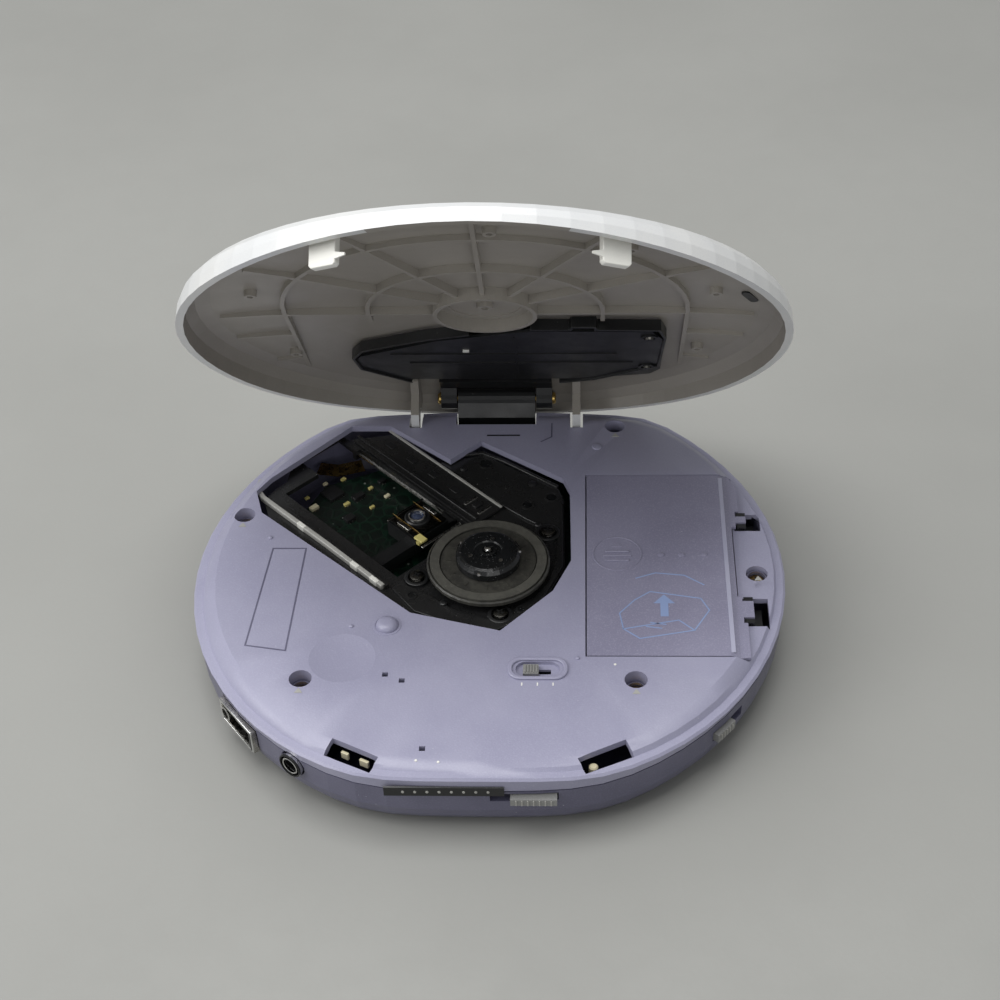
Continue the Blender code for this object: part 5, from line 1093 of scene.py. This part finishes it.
# The sunk rings take the darker lavender: painted shade in the recess round each screw.
for index, (x, y) in enumerate([(-48, -12), (48, -12), (-24, -48), (24, -48), (0, 44)]):
    ring = turnedShape([(1.6 * mm, -0.12 * mm), (2.3 * mm, -0.12 * mm), (2.3 * mm, 0.1 * mm), (1.6 * mm, 0.1 * mm)], 32)
    addPiece(f"underside ring {index}", ring, shadeAndLineFinish, "root", place=at(x * mm, y * mm))
    crossScrew(f"underside screw {index}", x, y, -0.55, {"head": 1.3, "finish": darkMetalFinish,
                                                       "cutFinish": blackFinish, "turn": 18 * index},
               place=Matrix.Translation((0, 0, -0.5 * mm)) @ Matrix.Scale(0.3, 4, (0, 0, 1)))
print("door, lid and underside detailed")


# The floor, the camera and the lamps

stageSettings = {
    "floorSide": 6.0, "floorZ": -0.0003, "floor": tone(150, 150, 146), "floorSecond": tone(146, 146, 142),
    "world": 0.40,
}
floorShape = bmesh.new()
bmesh.ops.create_grid(floorShape, x_segments=8, y_segments=8, size=stageSettings["floorSide"] / 2)
floorShape.transform(at(0, 0, stageSettings["floorZ"]))
floorMesh = bpy.data.meshes.new("floor")
floorShape.to_mesh(floorMesh)
floorShape.free()
floor = bpy.data.objects.new("floor", floorMesh)
scene.collection.objects.link(floor)
floorMesh.materials.append(mouldedFinish("pale table top", {
    "colour": stageSettings["floor"], "second": stageSettings["floorSecond"], "cloudScale": 9, "fleckScale": 900,
    "fleckShare": 0.15, "gloss": (0.5, 0.6), "grain": 0.02, "grainScale": 900,
}))

world = bpy.data.worlds.new("studio")
scene.world = world
world.use_nodes = True
backdrop = world.node_tree.nodes["Background"]
backdrop.inputs["Color"].default_value = tone(228, 230, 232)
backdrop.inputs["Strength"].default_value = stageSettings["world"]

lampSettings = [
    {"name": "overhead", "place": (-0.12, 0.12, 0.95), "aim": (0, 0, 0), "size": (1.0, 0.8), "power": 9.0},
    {"name": "leftFill", "place": (-0.9, -0.25, 0.65), "aim": (0, 0, 0.03), "size": (0.8, 0.6), "power": 5.5},
    {"name": "frontFill", "place": (0.25, -1.1, 0.55), "aim": (0, 0, 0.05), "size": (0.9, 0.5), "power": 1.9},
]
for lamp in lampSettings:
    light = bpy.data.lights.new(lamp["name"], "AREA")
    light.shape = "RECTANGLE"
    light.size, light.size_y = lamp["size"]
    light.energy = lamp["power"]
    holder = bpy.data.objects.new(lamp["name"], light)
    holder.location = lamp["place"]
    holder.rotation_euler = (Vector(lamp["aim"]) - Vector(lamp["place"])).to_track_quat("-Z", "Y").to_euler()
    scene.collection.objects.link(holder)

cameraView = {
    "azimuth": 3.40, "elevation": 41.05, "roll": -2.30, "distance": 0.4444, "target": (0, 0, 0.0175),
    "across": 0.00272, "up": 0.01420, "focalPixels": 1915.0, "framePixels": 1000, "sensor": 36.0,
}
angleA, angleE, angleR = (math.radians(cameraView[key]) for key in ("azimuth", "elevation", "roll"))
away = Vector((math.sin(angleA) * math.cos(angleE), -math.cos(angleA) * math.cos(angleE), math.sin(angleE)))
level = Vector((0, 0, 1)).cross(away).normalized()
lift = away.cross(level)
sideways = math.cos(angleR) * level + math.sin(angleR) * lift
upward = -math.sin(angleR) * level + math.cos(angleR) * lift
eye = Vector(cameraView["target"]) + away * cameraView["distance"] + sideways * cameraView["across"] \
    + upward * cameraView["up"]
cameraData = bpy.data.cameras.new("camera")
cameraData.sensor_width = cameraView["sensor"]
cameraData.lens = cameraView["focalPixels"] / cameraView["framePixels"] * cameraView["sensor"]
cameraData.clip_start = 0.01
camera = bpy.data.objects.new("camera", cameraData)
camera.matrix_world = Matrix((
    (sideways.x, upward.x, away.x, eye.x), (sideways.y, upward.y, away.y, eye.y),
    (sideways.z, upward.z, away.z, eye.z), (0, 0, 0, 1)))
scene.collection.objects.link(camera)
scene.camera = camera
scene.view_settings.view_transform = "Standard"
print("stage, lamps and camera ready")
